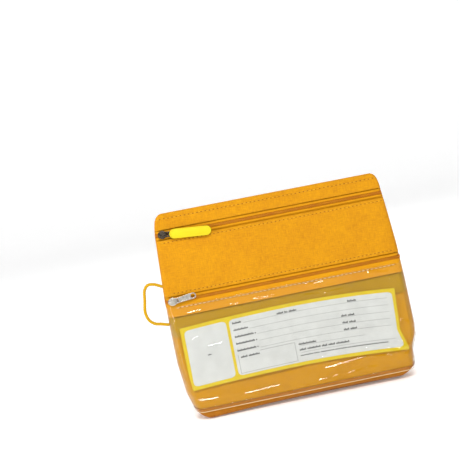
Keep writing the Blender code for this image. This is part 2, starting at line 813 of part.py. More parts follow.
def contents():
    rolls()
    adhesive_tape()
    packets()
    scissors()
    tweezers_arm("tweezers_fixed_arm", 1)
    tweezers_arm("tweezers_moving_arm", -1)


def main():
    for old in list(bpy.data.objects):
        bpy.data.objects.remove(old)
    shell()
    bottom_gusset()
    cross_emblem()
    info_card()
    seam_binding("left_seam_binding", -1)
    seam_binding("right_seam_binding", 1)
    top_binding()
    zips()
    side_loop()
    contents()


main()
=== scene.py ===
"""Looks of the first aid kit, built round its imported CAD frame.

A place on a face of the pouch is given as q, the distance along the fabric from the face's middle,
drop, the distance down from the top edge, and out, the distance in front of the face.
"""

import math

import bmesh
import bpy
import numpy as np
from mathutils import Matrix, Vector


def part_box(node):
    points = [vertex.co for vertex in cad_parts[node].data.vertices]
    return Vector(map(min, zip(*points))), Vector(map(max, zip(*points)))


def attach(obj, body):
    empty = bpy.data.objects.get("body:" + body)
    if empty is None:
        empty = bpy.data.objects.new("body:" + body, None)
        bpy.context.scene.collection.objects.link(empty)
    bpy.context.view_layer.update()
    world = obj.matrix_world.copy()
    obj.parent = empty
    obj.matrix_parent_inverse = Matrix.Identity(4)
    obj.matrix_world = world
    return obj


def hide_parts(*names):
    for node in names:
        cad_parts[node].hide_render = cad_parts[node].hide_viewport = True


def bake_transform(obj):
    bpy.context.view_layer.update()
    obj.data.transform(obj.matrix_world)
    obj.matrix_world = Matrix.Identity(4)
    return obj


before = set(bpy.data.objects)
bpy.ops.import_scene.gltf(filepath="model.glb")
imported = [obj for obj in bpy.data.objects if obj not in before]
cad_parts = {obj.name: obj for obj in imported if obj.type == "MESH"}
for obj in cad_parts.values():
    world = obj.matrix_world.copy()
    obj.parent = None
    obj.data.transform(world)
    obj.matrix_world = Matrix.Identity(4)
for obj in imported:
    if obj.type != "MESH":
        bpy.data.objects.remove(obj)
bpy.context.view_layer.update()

MM = 0.001
FRONT, BACK = -1, 1

# The pouch, as in the CAD
TOP_Z, FOOT_Z = 200 * MM, 12 * MM
FOOT_HALF_DEPTH, TOP_HALF_DEPTH = 20.5 * MM, 1.8 * MM
LEAN = math.atan2(FOOT_HALF_DEPTH - TOP_HALF_DEPTH, TOP_Z - FOOT_Z)
COS, SIN, TAN = math.cos(LEAN), math.sin(LEAN), math.tan(LEAN)
FACE_LENGTH = (TOP_Z - FOOT_Z) / COS
HEADER_FOOT, MAIN_ZIP = 15.5 * MM, 20 * MM
PANEL_TOP, PANEL_FOOT = 25.3 * MM, 79.3 * MM
POCKET_ZIP, CLEAR_TOP = 84 * MM, 88.9 * MM
FACING_TOP, FACING_FOOT = 99 * MM, 118 * MM
DIVIDER_TOP = 89 * MM

# Half widths (height, half width) in mm. The right side bulges above its crumpled corner.
LEFT_OUTLINE = (
    (0, 99.5), (6, 103.5), (12, 106.3), (26, 110.6), (55, 113.9), (80, 114.3), (120, 114.2), (150, 113),
    (180, 111.6), (188, 110.6), (194, 109.1), (197, 107.4), (199, 105.1), (200, 102.5),
)
RIGHT_OUTLINE = (
    (0, 103), (4, 106.5), (8, 110), (13, 113.4), (18, 114.2), (24, 113.6), (30, 115.4), (38, 118.8),
    (48, 119.8), (71, 119.2), (110, 117.6), (150, 114), (180, 110.8), (188, 109.8), (194, 108.5),
    (197, 107), (199, 104.9), (200, 102.4),
)
CORNER_BASE, CORNER_SHARE = 2.5 * MM, 0.3
SEAM_GAP = 0.15 * MM
CANVAS, FOLDED_EDGE, FILM = 0.9 * MM, 1.1 * MM, 0.5 * MM

LOOP_POINTS_MM = (
    (-113, 0, 131), (-116, 0, 132.5), (-121.5, 0, 135), (-127.4, 0, 135.2), (-131.2, 0, 130.5),
    (-132.8, 0, 121), (-134.4, 0, 111), (-132.6, 0, 102.8), (-127.5, 0, 97.8), (-121.5, 0, 96.2),
    (-116, 0, 94.5), (-114.3, 0, 94.1),
)
LOOP_DIAMETER = 3 * MM


# Materials


EXPOSED = 0.62  # the studio's light is this much too bright for a colour as it is seen


def srgb(r, g, b):
    """A colour given as 0 to 255, as Blender's linear colour, toned down for the studio's light."""
    parts = [c / 255 for c in (r, g, b)]
    return [EXPOSED * (c / 12.92 if c <= 0.04045 else ((c + 0.055) / 1.055) ** 2.4) for c in parts] + [1]


def feed(tree, target, inputs):
    """Link each of a node's inputs to a socket, or set its value."""
    for name, value in inputs.items():
        if isinstance(value, bpy.types.NodeSocket):
            tree.links.new(value, target.inputs[name])
        else:
            target.inputs[name].default_value = value


def node(tree, kind, inputs=(), **settings):
    made = tree.nodes.new(kind)
    for name, value in settings.items():
        setattr(made, name, value)
    feed(tree, made, dict(inputs))
    return made


def maths(tree, operation, a, b=0.0):
    return node(tree, "ShaderNodeMath", {0: a, 1: b}, operation=operation).outputs[0]


def blank(name):
    made = bpy.data.materials.new(name)
    made.use_nodes = True
    tree = made.node_tree
    return made, tree, tree.nodes["Principled BSDF"]


def in_mm(tree, space):
    """Places in millimetres, on the fabric's own map (UV) or in the piece's own space (Object)."""
    source = node(tree, "ShaderNodeTexCoord").outputs[space]
    return node(tree, "ShaderNodeMapping", {"Vector": source, "Scale": (1000, 1000, 1000)}).outputs[0]


def stretched_noise(tree, place, scale, stretch, detail=3.0):
    moved = node(tree, "ShaderNodeMapping", {"Vector": place, "Scale": (*stretch, 1)}).outputs[0]
    made = node(tree, "ShaderNodeTexNoise", {"Vector": moved, "Scale": scale, "Detail": detail})
    return made.outputs["Fac"]


def spread(tree, value, low, high, to_low=0.0, to_high=1.0):
    names = {"Value": value, "From Min": low, "From Max": high, "To Min": to_low, "To Max": to_high}
    return node(tree, "ShaderNodeMapRange", names).outputs[0]


def two_tone(tree, value, low, high, dark, light):
    """One colour where the value is low and another where it is high."""
    share = spread(tree, value, low, high)
    made = node(tree, "ShaderNodeMix", {0: share, 6: srgb(*dark), 7: srgb(*light)}, data_type="RGBA")
    return made.outputs[2]


def bumped(tree, height, strength, depth):
    inputs = {"Height": height, "Strength": strength, "Distance": depth * MM}
    return node(tree, "ShaderNodeBump", inputs).outputs[0]


def woven(name, light, dark, pitch=0.55, depth=0.12, roughness=0.85, slub=0.5, sheen=0.04):
    """Plain weave: crossing threads of a pitch in mm, thick and thin places, and a soft mottle."""
    made, tree, shader = blank(name)
    place = in_mm(tree, "UV")
    parts = node(tree, "ShaderNodeSeparateXYZ", {"Vector": place}).outputs
    warp, weft = [maths(tree, "SINE", maths(tree, "MULTIPLY", part, math.pi / pitch)) for part in parts[:2]]
    cloth = maths(tree, "MULTIPLY", warp, weft)
    ways = ((1.3, 0.16), (0.16, 1.3))
    threads = maths(tree, "ADD", *[stretched_noise(tree, place, 1.0, way) for way in ways])
    mottle = stretched_noise(tree, place, 0.035, (1, 1), 2.0)
    shade = spread(tree, threads, 0.78, 1.22, 0, slub)
    for part in (spread(tree, cloth, -1, 1, 0, 0.16), spread(tree, mottle, 0.3, 0.7, 0, 0.2)):
        shade = maths(tree, "ADD", shade, part)
    height = maths(tree, "ADD", spread(tree, cloth, -1, 1, 0, 0.6), spread(tree, threads, 0.6, 1.4, 0, 0.8))
    feed(tree, shader, {
        "Base Color": two_tone(tree, shade, 0.1, 0.8, dark, light),
        "Normal": bumped(tree, height, 0.6, depth), "Roughness": roughness,
        "Sheen Weight": sheen, "Sheen Roughness": 0.4, "Specular IOR Level": 0.12,
    })
    return made


def worn_metal(name, light, dark, roughness, scale=0.6):
    """Plated metal with fine scuffs and a little uneven tone."""
    made, tree, shader = blank(name)
    place = in_mm(tree, "Object")
    tone = stretched_noise(tree, place, scale, (1, 1), 5.0)
    scuff = stretched_noise(tree, place, 3.0, (0.25, 1), 4.0)
    feed(tree, shader, {
        "Base Color": two_tone(tree, tone, 0.3, 0.7, dark, light),
        "Roughness": spread(tree, scuff, 0.3, 0.7, roughness - 0.08, roughness + 0.12),
        "Normal": bumped(tree, scuff, 0.25, 0.03), "Metallic": 1.0,
    })
    return made


def smooth_solid(name, light, dark, roughness):
    """Moulded plastic, paper or card: a fine grain and a faint change of tone."""
    made, tree, shader = blank(name)
    place = in_mm(tree, "Object")
    tone = stretched_noise(tree, place, 0.096, (1, 1), 3.0)
    fine = stretched_noise(tree, place, 2.4, (1, 1), 2.0)
    feed(tree, shader, {
        "Base Color": two_tone(tree, tone, 0.3, 0.7, dark, light),
        "Normal": bumped(tree, fine, 0.3, 0.02), "Roughness": roughness, "Specular IOR Level": 0.3,
    })
    return made


def clear_film(name, tint, ior, roughness=0.05):
    """Clear flexible film: tinted where light passes, with a gloss that grows at grazing angles."""
    made, tree, shader = blank(name)
    tree.nodes.remove(shader)
    ripple = stretched_noise(tree, in_mm(tree, "UV"), 0.09, (1, 1.6), 2.0)
    bump = bumped(tree, ripple, 0.2, 0.5)
    through = node(tree, "ShaderNodeBsdfTransparent", {"Color": tint}).outputs[0]
    gloss = node(tree, "ShaderNodeBsdfGlossy", {"Roughness": roughness, "Normal": bump}).outputs[0]
    edge = node(tree, "ShaderNodeFresnel", {"IOR": ior, "Normal": bump}).outputs[0]
    outside = maths(tree, "SUBTRACT", 1.0, node(tree, "ShaderNodeNewGeometry").outputs["Backfacing"])
    share = maths(tree, "MULTIPLY", edge, outside)
    both = node(tree, "ShaderNodeMixShader", {0: share, 1: through, 2: gloss})
    feed(tree, tree.nodes["Material Output"], {"Surface": both.outputs[0]})
    return made


CANVAS_PAINT = woven("canvas", (252, 178, 18), (220, 144, 22))
DIVIDER_PAINT = woven("divider", (240, 174, 0), (214, 146, 0))
# Painted shade: the boxed bottom is the same canvas as the faces, coloured darker for the shade under the
# pouch.
SHADED_BOTTOM_PAINT = woven("bottom", (214, 138, 34), (190, 116, 28))
TAPE_PAINT = woven("zip_tape", (255, 184, 14), (238, 158, 16), 0.35, 0.06, 0.8, 0.3)
THREAD_PAINT = woven("thread", (255, 200, 52), (242, 172, 34), 0.25, 0.05, 0.7, 0.3)
# Painted highlight: the stitches along the film's top edge are near white for the glints of light on them.
GLINT_PALE_THREAD = woven("pale_thread_glint", (255, 248, 214), (252, 232, 176), 0.25, 0.05, 0.5, 0.3)
# Painted shade: small dark capsules between the stitches stand in for the shade in the needle holes.
HOLE_SHADE_PAINT = smooth_solid("needle_hole_shade", (176, 104, 20), (160, 90, 16), 0.9)
COIL_PAINT = smooth_solid("zip_coil", (246, 160, 22), (232, 140, 22), 0.38)
# Partly real thread, partly painted shade: the coil's sewing cord is dark red for the shaded grooves beside
# the coil.
GROOVE_SHADE_PAINT = woven("zip_thread_groove_shade", (196, 84, 14), (176, 70, 12), 0.3, 0.05, 0.8, 0.3)
ELASTIC_PAINT = woven("elastic", (250, 200, 20), (226, 170, 18), 0.5, 0.1, 0.75, 0.3)
FACING_PAINT = woven("facing", (216, 168, 6), (190, 144, 0), 0.4, 0.04, 0.55, 0.3)
FILM_PAINT = clear_film("clear_pvc", [0.985, 0.985, 0.97, 1], 1.44)
# Painted highlight: a pale opaque strip along the film's foot stands in for the light line on its rim.
FILM_EDGE_HIGHLIGHT = smooth_solid("film_edge_highlight", (255, 236, 190), (250, 220, 160), 0.25)
CROSS_PAINT = woven("cross_film", (252, 253, 255), (240, 242, 246), 0.55, 0.05, 0.5, 0.2, 0.0)
CARD_PAINT = smooth_solid("card_white", (240, 242, 243), (228, 230, 231), 0.45)
CARD_YELLOW = smooth_solid("card_yellow", (248, 218, 6), (240, 208, 4), 0.45)
INK = smooth_solid("card_ink", (44, 45, 48), (34, 35, 38), 0.6)
INK_LINE = smooth_solid("card_rule", (132, 134, 138), (120, 122, 128), 0.6)
NICKEL = worn_metal("nickel", (240, 236, 226), (198, 192, 180), 0.2)
GUNMETAL = worn_metal("gunmetal", (116, 106, 94), (52, 46, 40), 0.24)
STEEL = worn_metal("steel", (205, 207, 210), (176, 178, 182), 0.24)
GRIP_PAINT = smooth_solid("yellow_plastic", (255, 236, 0), (255, 228, 0), 0.5)
CREPE = woven("crepe", (226, 204, 176), (198, 172, 142), 1.1, 0.35, 0.95, 0.6)
GAUZE = woven("gauze", (245, 245, 242), (222, 222, 218), 0.9, 0.3, 0.95, 0.5)
CORE_CARD = smooth_solid("core_card", (176, 144, 104), (150, 120, 84), 0.85)
PAPER = smooth_solid("paper", (238, 240, 242), (224, 227, 231), 0.6)
BOX_CARD = smooth_solid("plaster_card", (226, 231, 238), (210, 217, 228), 0.45)
FOIL = worn_metal("foil", (224, 226, 230), (190, 192, 198), 0.3, 0.3)
BLANKET = worn_metal("blanket_foil", (230, 231, 235), (196, 198, 204), 0.22, 0.2)


# The pouch's surface


def outline_table(points):
    """Half widths at every half millimetre of height, rounded a little between the points."""
    heights = np.arange(-4, 204.5, 0.5)
    table = np.interp(heights, *zip(*points))
    soft = np.convolve(np.pad(table, 5, mode="edge"), np.ones(11) / 11, mode="valid")
    keep = np.clip((heights - 186) / 6, 0, 1)
    return heights * MM, (keep * table + (1 - keep) * soft) * MM


LEFT_TABLE, RIGHT_TABLE = outline_table(LEFT_OUTLINE), outline_table(RIGHT_OUTLINE)


def half_width(z, right):
    return np.where(right, np.interp(z, *RIGHT_TABLE), np.interp(z, *LEFT_TABLE))


def half_depth(z):
    return TOP_HALF_DEPTH + (TOP_Z - np.maximum(z, FOOT_Z)) * TAN


def corner_radius(z):
    return CORNER_BASE + CORNER_SHARE * half_depth(z)


def seam_arc(corner, depth):
    """The fabric's length round a corner, from the flat of a face to its side seam."""
    return math.pi / 4 * np.sqrt(2 * (corner**2 + depth**2))


def round_length(z, right):
    """The distance along the fabric from a face's middle to its side seam."""
    corner = corner_radius(z)
    return half_width(z, right) - corner + seam_arc(corner, half_depth(z))


def waves(seed, count, low, high):
    """Smooth undulation: a sum of sines whose wavelengths lie between low and high."""
    draw = np.random.RandomState(seed)
    terms = []
    for _ in range(count):
        length, heading, phase = draw.uniform(low, high), draw.uniform(0, math.pi), draw.uniform(0, 6.28)
        turn = 2 * math.pi / length
        terms.append((turn * math.cos(heading), turn * math.sin(heading), phase))
    return lambda x, y: sum(np.sin(a * x + b * y + c) for a, b, c in terms) / math.sqrt(count)


def bell(value, middle, width):
    return np.exp(-(((value - middle) / width) ** 2))


def eased(t):
    """A smooth step for a share between 0 and 1."""
    return t * t * (3 - 2 * t)


def ridge(q, drop, ax, ay, bx, by, height, width, flank=False):
    """A crease from a to b on the face, in mm, that dies out towards its ends.

    A flank is even and steep, so that the key light runs along it as one streak.
    """
    ax, ay, bx, by = ax * MM, ay * MM, bx * MM, by * MM
    dx, dy = bx - ax, by - ay
    long = math.hypot(dx, dy)
    t = ((q - ax) * dx + (drop - ay) * dy) / long**2
    away = ((q - ax) * dy - (drop - ay) * dx) / long
    fade = eased(np.clip(np.minimum(t, 1 - t) / 0.16 + 0.1, 0, 1))
    if flank:
        height, width = 1.28 * height, 1.36 * width
        roof = 1 - np.sqrt((away / (width * MM)) ** 2 + 0.02)
        return height * MM * np.clip(roof, 0, 1) * fade
    return height * MM * np.exp(-((away / (width * MM)) ** 2)) * fade


SOFT = waves(3, 7, 38 * MM, 90 * MM)
FINE = waves(11, 9, 11 * MM, 26 * MM)
FILM_SOFT = waves(5, 7, 24 * MM, 60 * MM)
FILM_FINE = waves(17, 9, 7 * MM, 16 * MM)
BACK_CREASES = (
    (-80, 172, 70, 174, -0.9, 5), (-100, 150, -70, 184, -1.2, 7), (100, 152, 74, 184, -1.2, 7),
    (-108, 30, -100, 120, 0.7, 5), (106, 40, 99, 130, 0.6, 5), (-30, 178, 40, 166, 0.6, 4),
)
DIVIDER_CREASES = (
    (5, 158, 8, 192, 1.1, 1.6), (-100, 150, -84, 190, 0.5, 5), (84, 150, 108, 186, 0.7, 6),
    (30, 170, 60, 190, 0.6, 5), (96, 120, 102, 160, 0.6, 5),
)
PANEL_CREASES = ((-80, 30, -20, 74, 0.25, 9), (20, 34, 88, 60, -0.25, 10))
FILM_CREASES = (
    (17, 169.5, 24, 163, 0.8, 1.6), (23, 164, 38, 157, 0.8, 1.6), (12, 185.4, 40, 184.4, 0.9, 1.8),
    (39, 184.4, 76, 182.6, 0.9, 1.8), (70, 174.4, 90, 175.4, 1.1, 2.2), (14, 102.6, 34, 104.6, 0.78, 1.7),
    (33, 104.6, 58, 104, 0.78, 1.7), (19, 93.4, 28, 94, 0.84, 1.9), (27, 94.6, 41, 93.4, 0.84, 1.9),
    (80, 94.4, 94, 95, 1.3, 2.9), (92, 95.6, 104, 96.6, 0.9, 2.0), (103, 144, 112, 149, 1.2, 2.5),
    (110, 148, 118, 157, 1.3, 2.6), (80, 183, 116, 160, 2.1, 3.8), (92, 160, 116, 170, -1.8, 3.2),
    (84, 168, 112, 183, 1.6, 2.9), (98, 134, 110, 170, -1.6, 3.0), (90, 166, 104, 164, 1.2, 2.4),
    (100, 170, 114, 168, 1.1, 2.2), (-62, 184, -16, 182, 0.8, 1.7), (94, 178, 114, 176, 1.2, 2.3),
    (-86, 134, -66, 132, 0.9, 2.2), (-98, 124, -88, 121.6, 0.8, 1.8), (-34, 97, -6, 98, 0.7, 1.5),
    (30, 134, 52, 132, 0.35, 1.4), (-92, 160, -74, 156, 0.5, 1.4), (60, 165, 96, 161, 0.8, 1.8),
    (-107.5, 93, -108, 103, 0.5, 1.6), (-109, 110, -110.5, 132, 1.2, 2.2), (-109, 134, -107, 158, 1.2, 2.2),
    (-100, 98, -80, 97, 0.6, 1.3), (100, 102, 110, 116, 0.9, 2.2), (-56, 98, -44, 99, 0.7, 1.4),
    (18, 176, 72, 172, 0.95, 1.9), (-104, 181.5, -78, 182.5, 0.9, 1.8),
)


def creases(q, drop, found, flank=False):
    return sum(ridge(q, drop, *crease, flank) for crease in found)


def back_relief(q, drop):
    rise = np.clip(drop / (40 * MM), 0, 1)
    pillow = 2.4 * MM * np.cos(np.clip(q / (118 * MM), -1, 1) * math.pi / 2) * np.sin(
        np.clip(drop / (190 * MM), 0, 1) * math.pi
    )
    wave = (0.55 * SOFT(q, drop) + 0.14 * FINE(q, drop)) * MM
    return pillow + rise * (wave + creases(q, drop, BACK_CREASES))


def row_dimple(q, drop, row, pitch=4 * MM, depth=0.35):
    """The valley a stitched row pulls into the cloth, puckered between its stitches."""
    pucker = 0.75 + 0.25 * np.cos(2 * math.pi * q / pitch)
    return -depth * MM * bell(drop, row, 1.1 * MM) * pucker


def header_relief(q, drop):
    return (0.1 * SOFT(q, drop) + 0.05 * FINE(q, drop)) * MM * np.clip(drop / (4 * MM), 0, 1)


def panel_relief(q, drop):
    between = np.clip((drop - PANEL_TOP) / (12 * MM), 0, 1) * np.clip((PANEL_FOOT - drop) / (12 * MM), 0, 1)
    belly = 0.9 * np.cos(np.clip(q / (118 * MM), -1, 1) * math.pi / 2) + 0.35 * SOFT(q, drop)
    return between * ((belly + 0.1 * FINE(q, drop)) * MM + creases(q, drop, PANEL_CREASES))


def film_relief(q, drop):
    below = np.clip((drop - CLEAR_TOP) / (9 * MM), 0, 1) * np.clip((FACE_LENGTH - drop) / (4 * MM), 0, 1)
    crumple = bell(q, 106 * MM, 14 * MM) * bell(drop, 166 * MM, 18 * MM)
    calm = 1 - np.clip(creases(q, drop, [(*ends, 1200, 2.6 * wide) for *ends, _, wide in FILM_CREASES]), 0, 1)
    wave = 0.3 * FILM_SOFT(q, drop) + 0.12 * FILM_FINE(q, drop) + crumple * (
        1.6 * np.abs(FILM_FINE(q * 0.8, drop)) - 0.8
    )
    folds = creases(q, drop, FILM_CREASES, True)
    return below * (wave * calm * MM + 0.35 * MM) + np.clip(below * 3, 0, 1) * folds


def divider_relief(q, drop):
    """The divider hangs behind the film, and is sewn to it at the foot and the sides."""
    rows = np.clip((FACE_LENGTH - drop) / (5 * MM), 0, 1) ** 0.6
    return rows * ((0.5 * SOFT(q + 0.3, drop) - 3.7) * MM + creases(q, drop, DIVIDER_CREASES))


def band_relief(q, drop):
    """The facing lies just in front of the divider."""
    return 0.2 * MM * SOFT(q, drop) - 1.9 * MM


def rim_relief(q, drop):
    """The film's foot stands a little away from the bottom it is sewn to."""
    return 0.2 * np.maximum(drop - FACE_LENGTH, 0) + 0.2 * MM * FILM_FINE(q, drop * 0)


def flat_relief(q, drop):
    return 0 * q * drop


def surface(side, share, drop, out, relief=flat_relief, by_q=False):
    """World places on a face. share runs from -1 to 1 between the side seams, or is q itself."""
    share, drop, out = np.broadcast_arrays(*[np.asarray(v, float) for v in (share, drop, out)])
    z = TOP_Z - drop * COS
    right = share >= 0
    corner = corner_radius(z)
    depth = half_depth(z)
    width = half_width(z, right)
    arc = seam_arc(corner, depth)
    flat = width - corner
    q = share if by_q else share * (flat + arc)
    turn = np.clip((np.abs(q) - flat) / arc, 0, 1) * math.pi / 2
    soft = relief(q, drop) * np.cos(turn) ** 0.9
    lift = out + soft
    closing = np.clip(drop / TOP_HALF_DEPTH, 0, 1)
    closing = np.sqrt(np.clip(1 - (1 - closing) ** 2, 0, 1))
    x = np.sign(q) * np.where(turn > 0, flat + (corner + lift) * np.sin(turn), np.abs(q))
    y = np.maximum((depth + lift * COS) * np.cos(turn) * closing, SEAM_GAP)
    z = z + lift * SIN * closing + np.minimum(out, 0) * (1 - closing)
    return np.stack([x, side * y, z], -1), np.stack([q, drop], -1)


def hem_rows(top, foot, thick, step=3 * MM, over_top=False):
    """(drop, outer, inner) for each row of a layer whose two edges are rounded folds."""
    radius = thick / 2
    ease = [radius * (1 - math.cos(a)) for a in (0, 0.4, 0.8, 1.2, math.pi / 2)]
    count = max(2, round((foot - top - 2 * radius) / step))
    body = [top + radius + (foot - top - 2 * radius) * i / count for i in range(1, count)]
    drops = [top + e for e in ease] + body + [foot - e for e in reversed(ease)]
    if over_top:
        drops = [d * MM for d in (0, 0.05, 0.2, 0.5, 0.9, 1.4, 1.9)] + [d for d in drops if d > 2.4 * MM]
    rows = []
    for drop in drops:
        near = min(foot - drop, radius if over_top else drop - top, radius)
        half = math.sqrt(max(radius**2 - (radius - near) ** 2, 0))
        rows.append((drop, -radius + half, -radius - half))
    return rows


def columns(low, high, flat_step=3 * MM, edge=10):
    """Shares between two others, closer together near the side seams."""
    count = max(2, round(abs(high - low) * 118 * MM / flat_step))
    found = set(np.round(np.linspace(low, high, count + 1), 6))
    for end in (-1, 1):
        if low <= end <= high:
            found |= set(np.round(end * (1 - np.linspace(0, 0.17, edge * 2 + 1)), 6))
    return np.array(sorted(found))


# Making pieces


def make_object(name, places, faces, paint, uvs=None, smooth=True, sharp=40, merge=2e-6):
    """A mesh piece. paint is one material, or several with a material index for each face."""
    data = bpy.data.meshes.new(name)
    data.from_pydata([tuple(p) for p in places], [], [tuple(f) for f in faces])
    paints, which = paint if isinstance(paint, tuple) else ([paint], None)
    for item in paints:
        data.materials.append(item)
    if which is not None:
        data.polygons.foreach_set("material_index", np.array(which, np.int32))
    if uvs is not None:
        layer = data.uv_layers.new(name="fabric")
        loops = np.zeros(len(data.loops), np.int32)
        data.loops.foreach_get("vertex_index", loops)
        layer.data.foreach_set("uv", np.asarray(uvs, np.float32)[loops].ravel())
    made = bmesh.new()
    made.from_mesh(data)
    bmesh.ops.remove_doubles(made, verts=made.verts, dist=merge)
    bmesh.ops.dissolve_degenerate(made, dist=merge / 2, edges=made.edges)
    bmesh.ops.recalc_face_normals(made, faces=made.faces)
    made.to_mesh(data)
    made.free()
    if smooth:
        data.shade_smooth()
        data.set_sharp_from_angle(angle=math.radians(sharp))
    obj = bpy.data.objects.new(name, data)
    bpy.context.scene.collection.objects.link(obj)
    return obj


def grid_faces(rows, cols, offset=0, flip=False):
    found = []
    for r in range(rows - 1):
        for c in range(cols - 1):
            a = offset + r * cols + c
            quad = (a, a + 1, a + cols + 1, a + cols)
            found.append(quad[::-1] if flip else quad)
    return found


def layered(outer, inner):
    """Faces of a closed layer between two grids of places of the same shape."""
    rows, cols = outer.shape[:2]
    count = rows * cols
    faces = grid_faces(rows, cols) + grid_faces(rows, cols, count, True)
    rim = list(range(cols)) + [r * cols + cols - 1 for r in range(1, rows)]
    rim += [(rows - 1) * cols + c for c in range(cols - 2, -1, -1)]
    rim += [r * cols for r in range(rows - 2, 0, -1)]
    faces += [(a, b, b + count, a + count) for a, b in zip(rim, rim[1:] + rim[:1])]
    return np.concatenate([outer.reshape(-1, 3), inner.reshape(-1, 3)]), faces


def tube_faces(rings, sides, capped=True):
    """Faces of a tube of rings of places, with its two ends closed."""
    faces = [
        (i * sides + k, i * sides + n, (i + 1) * sides + n, (i + 1) * sides + k)
        for i in range(rings - 1) for k, n in zip(range(sides), [*range(1, sides), 0])
    ]
    ends = [tuple(range(sides))[::-1], tuple((rings - 1) * sides + k for k in range(sides))]
    return faces + ends if capped else faces


def merged(parts):
    """Places and faces of several closed parts taken together."""
    places, faces, start = [], [], 0
    for found, cells in parts:
        places.append(found)
        faces += [tuple(v + start for v in cell) for cell in cells]
        start += len(found)
    return np.concatenate(places), faces


def layer(name, side, rows, shares, paint, relief=flat_relief, by_q=False, shift=0.0):
    """A fabric layer of a face between its rows and columns."""
    drops, outer_out, inner_out = [np.array(v)[:, None] for v in zip(*rows)]
    share = np.asarray(shares)[None, :]
    outer, uv = surface(side, share, drops, outer_out + shift, relief, by_q)
    inner, _ = surface(side, share, drops, inner_out + shift, relief, by_q)
    places, faces = layered(outer, inner)
    return make_object(name, places, faces, paint, np.concatenate([uv.reshape(-1, 2)] * 2))


def hung(made, nodes=()):
    """A half piece, with its place baked into its mesh and the CAD parts it stands for hidden."""
    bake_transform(made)
    return settle(made, None, nodes)


def settle(made, body, nodes=()):
    if body:
        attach(made, body)
    if nodes:
        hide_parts(*nodes)
    return made


HALVES = (("left", -1, 0), ("right", 0, 1))
MAIN_SLIDER_X, POCKET_SLIDER_X, PULL_LIFT = -104 * MM, -106.5 * MM, 2.55 * MM
TOP_STITCHES, PANEL_STITCHES, FILM_STITCHES = 5.2 * MM, (28 * MM, 76.6 * MM), 90.6 * MM


# Canvas, film and facing


def top_row_dimple(q, drop):
    return row_dimple(q, drop, TOP_STITCHES)


def back_top_relief(q, drop):
    return back_relief(q, drop) + top_row_dimple(q, drop)


def canvas_panels():
    seam_rows = [(d * MM, 0.0, -CANVAS) for d in (3.6, 4.1, 4.6, 5.2, 5.8, 6.3, 6.8)]
    back_rows = sorted(hem_rows(0, FACE_LENGTH, CANVAS, over_top=True) + seam_rows)
    back = layer("back_canvas", BACK, back_rows, columns(-1, 1), CANVAS_PAINT, back_top_relief)
    settle(back, "pouch", ["back_panel"])
    for name, low, high in HALVES:
        shares = columns(low, high, 2 * MM)
        header = layer(
            f"header_{name}", FRONT, hem_rows(0, HEADER_FOOT, FOLDED_EDGE, 1 * MM, True), shares,
            CANVAS_PAINT, lambda q, d: header_relief(q, d) + top_row_dimple(q, d),
        )
        hung(header, ["header_strip"])
        panel = layer(
            f"front_panel_{name}", FRONT, hem_rows(PANEL_TOP, PANEL_FOOT, FOLDED_EDGE, 1.5 * MM), shares,
            CANVAS_PAINT,
            lambda q, d: panel_relief(q, d) + sum(row_dimple(q, d, row) for row in PANEL_STITCHES),
        )
        hung(panel, ["front_panel"])


def pocket():
    for name, low, high in HALVES:
        film = layer(
            f"clear_pocket_{name}", FRONT, hem_rows(CLEAR_TOP, FACE_LENGTH - 0.4 * MM, FILM, 0.6 * MM),
            columns(low, high, 0.9 * MM, 24), FILM_PAINT, film_relief,
        )
        hung(film, ["clear_pocket"])
    wide, close, inner = columns(-1, 1), columns(-1, 1, 1.5 * MM), columns(-0.99, 0.99)
    divider_rows = hem_rows(DIVIDER_TOP, FACE_LENGTH, CANVAS)
    rim_rows = hem_rows(FACE_LENGTH - 0.6 * MM, FACE_LENGTH + 3.4 * MM, 0.6 * MM, 0.4 * MM)
    # A pale strip along the film's foot, a painted highlight of the rim.
    rim_highlight_rows = hem_rows(FACE_LENGTH + 3.0 * MM, FACE_LENGTH + 3.6 * MM, 0.55 * MM, 0.2 * MM)
    band_rows = hem_rows(FACING_TOP, FACING_FOOT, 0.4 * MM, 2 * MM)
    for name, rows, cols, paint, relief, shift, nodes, slot in (
        ("clear_rim", rim_rows, close, FILM_PAINT, rim_relief, 0.7, (), "clear_pvc"),
        ("clear_rim_highlight", rim_highlight_rows, close, FILM_EDGE_HIGHLIGHT, rim_relief, 0.8, (), "clear_pvc"),
        (
            "divider_canvas", divider_rows, wide, DIVIDER_PAINT, divider_relief, -0.9,
            ["divider_panel"], "canvas",
        ),
        ("pocket_band", band_rows, inner, FACING_PAINT, band_relief, -0.75, ["pocket_facing"], "facing"),
    ):
        settle(layer(name, FRONT, rows, cols, paint, relief, shift=shift * MM), "pouch", nodes)


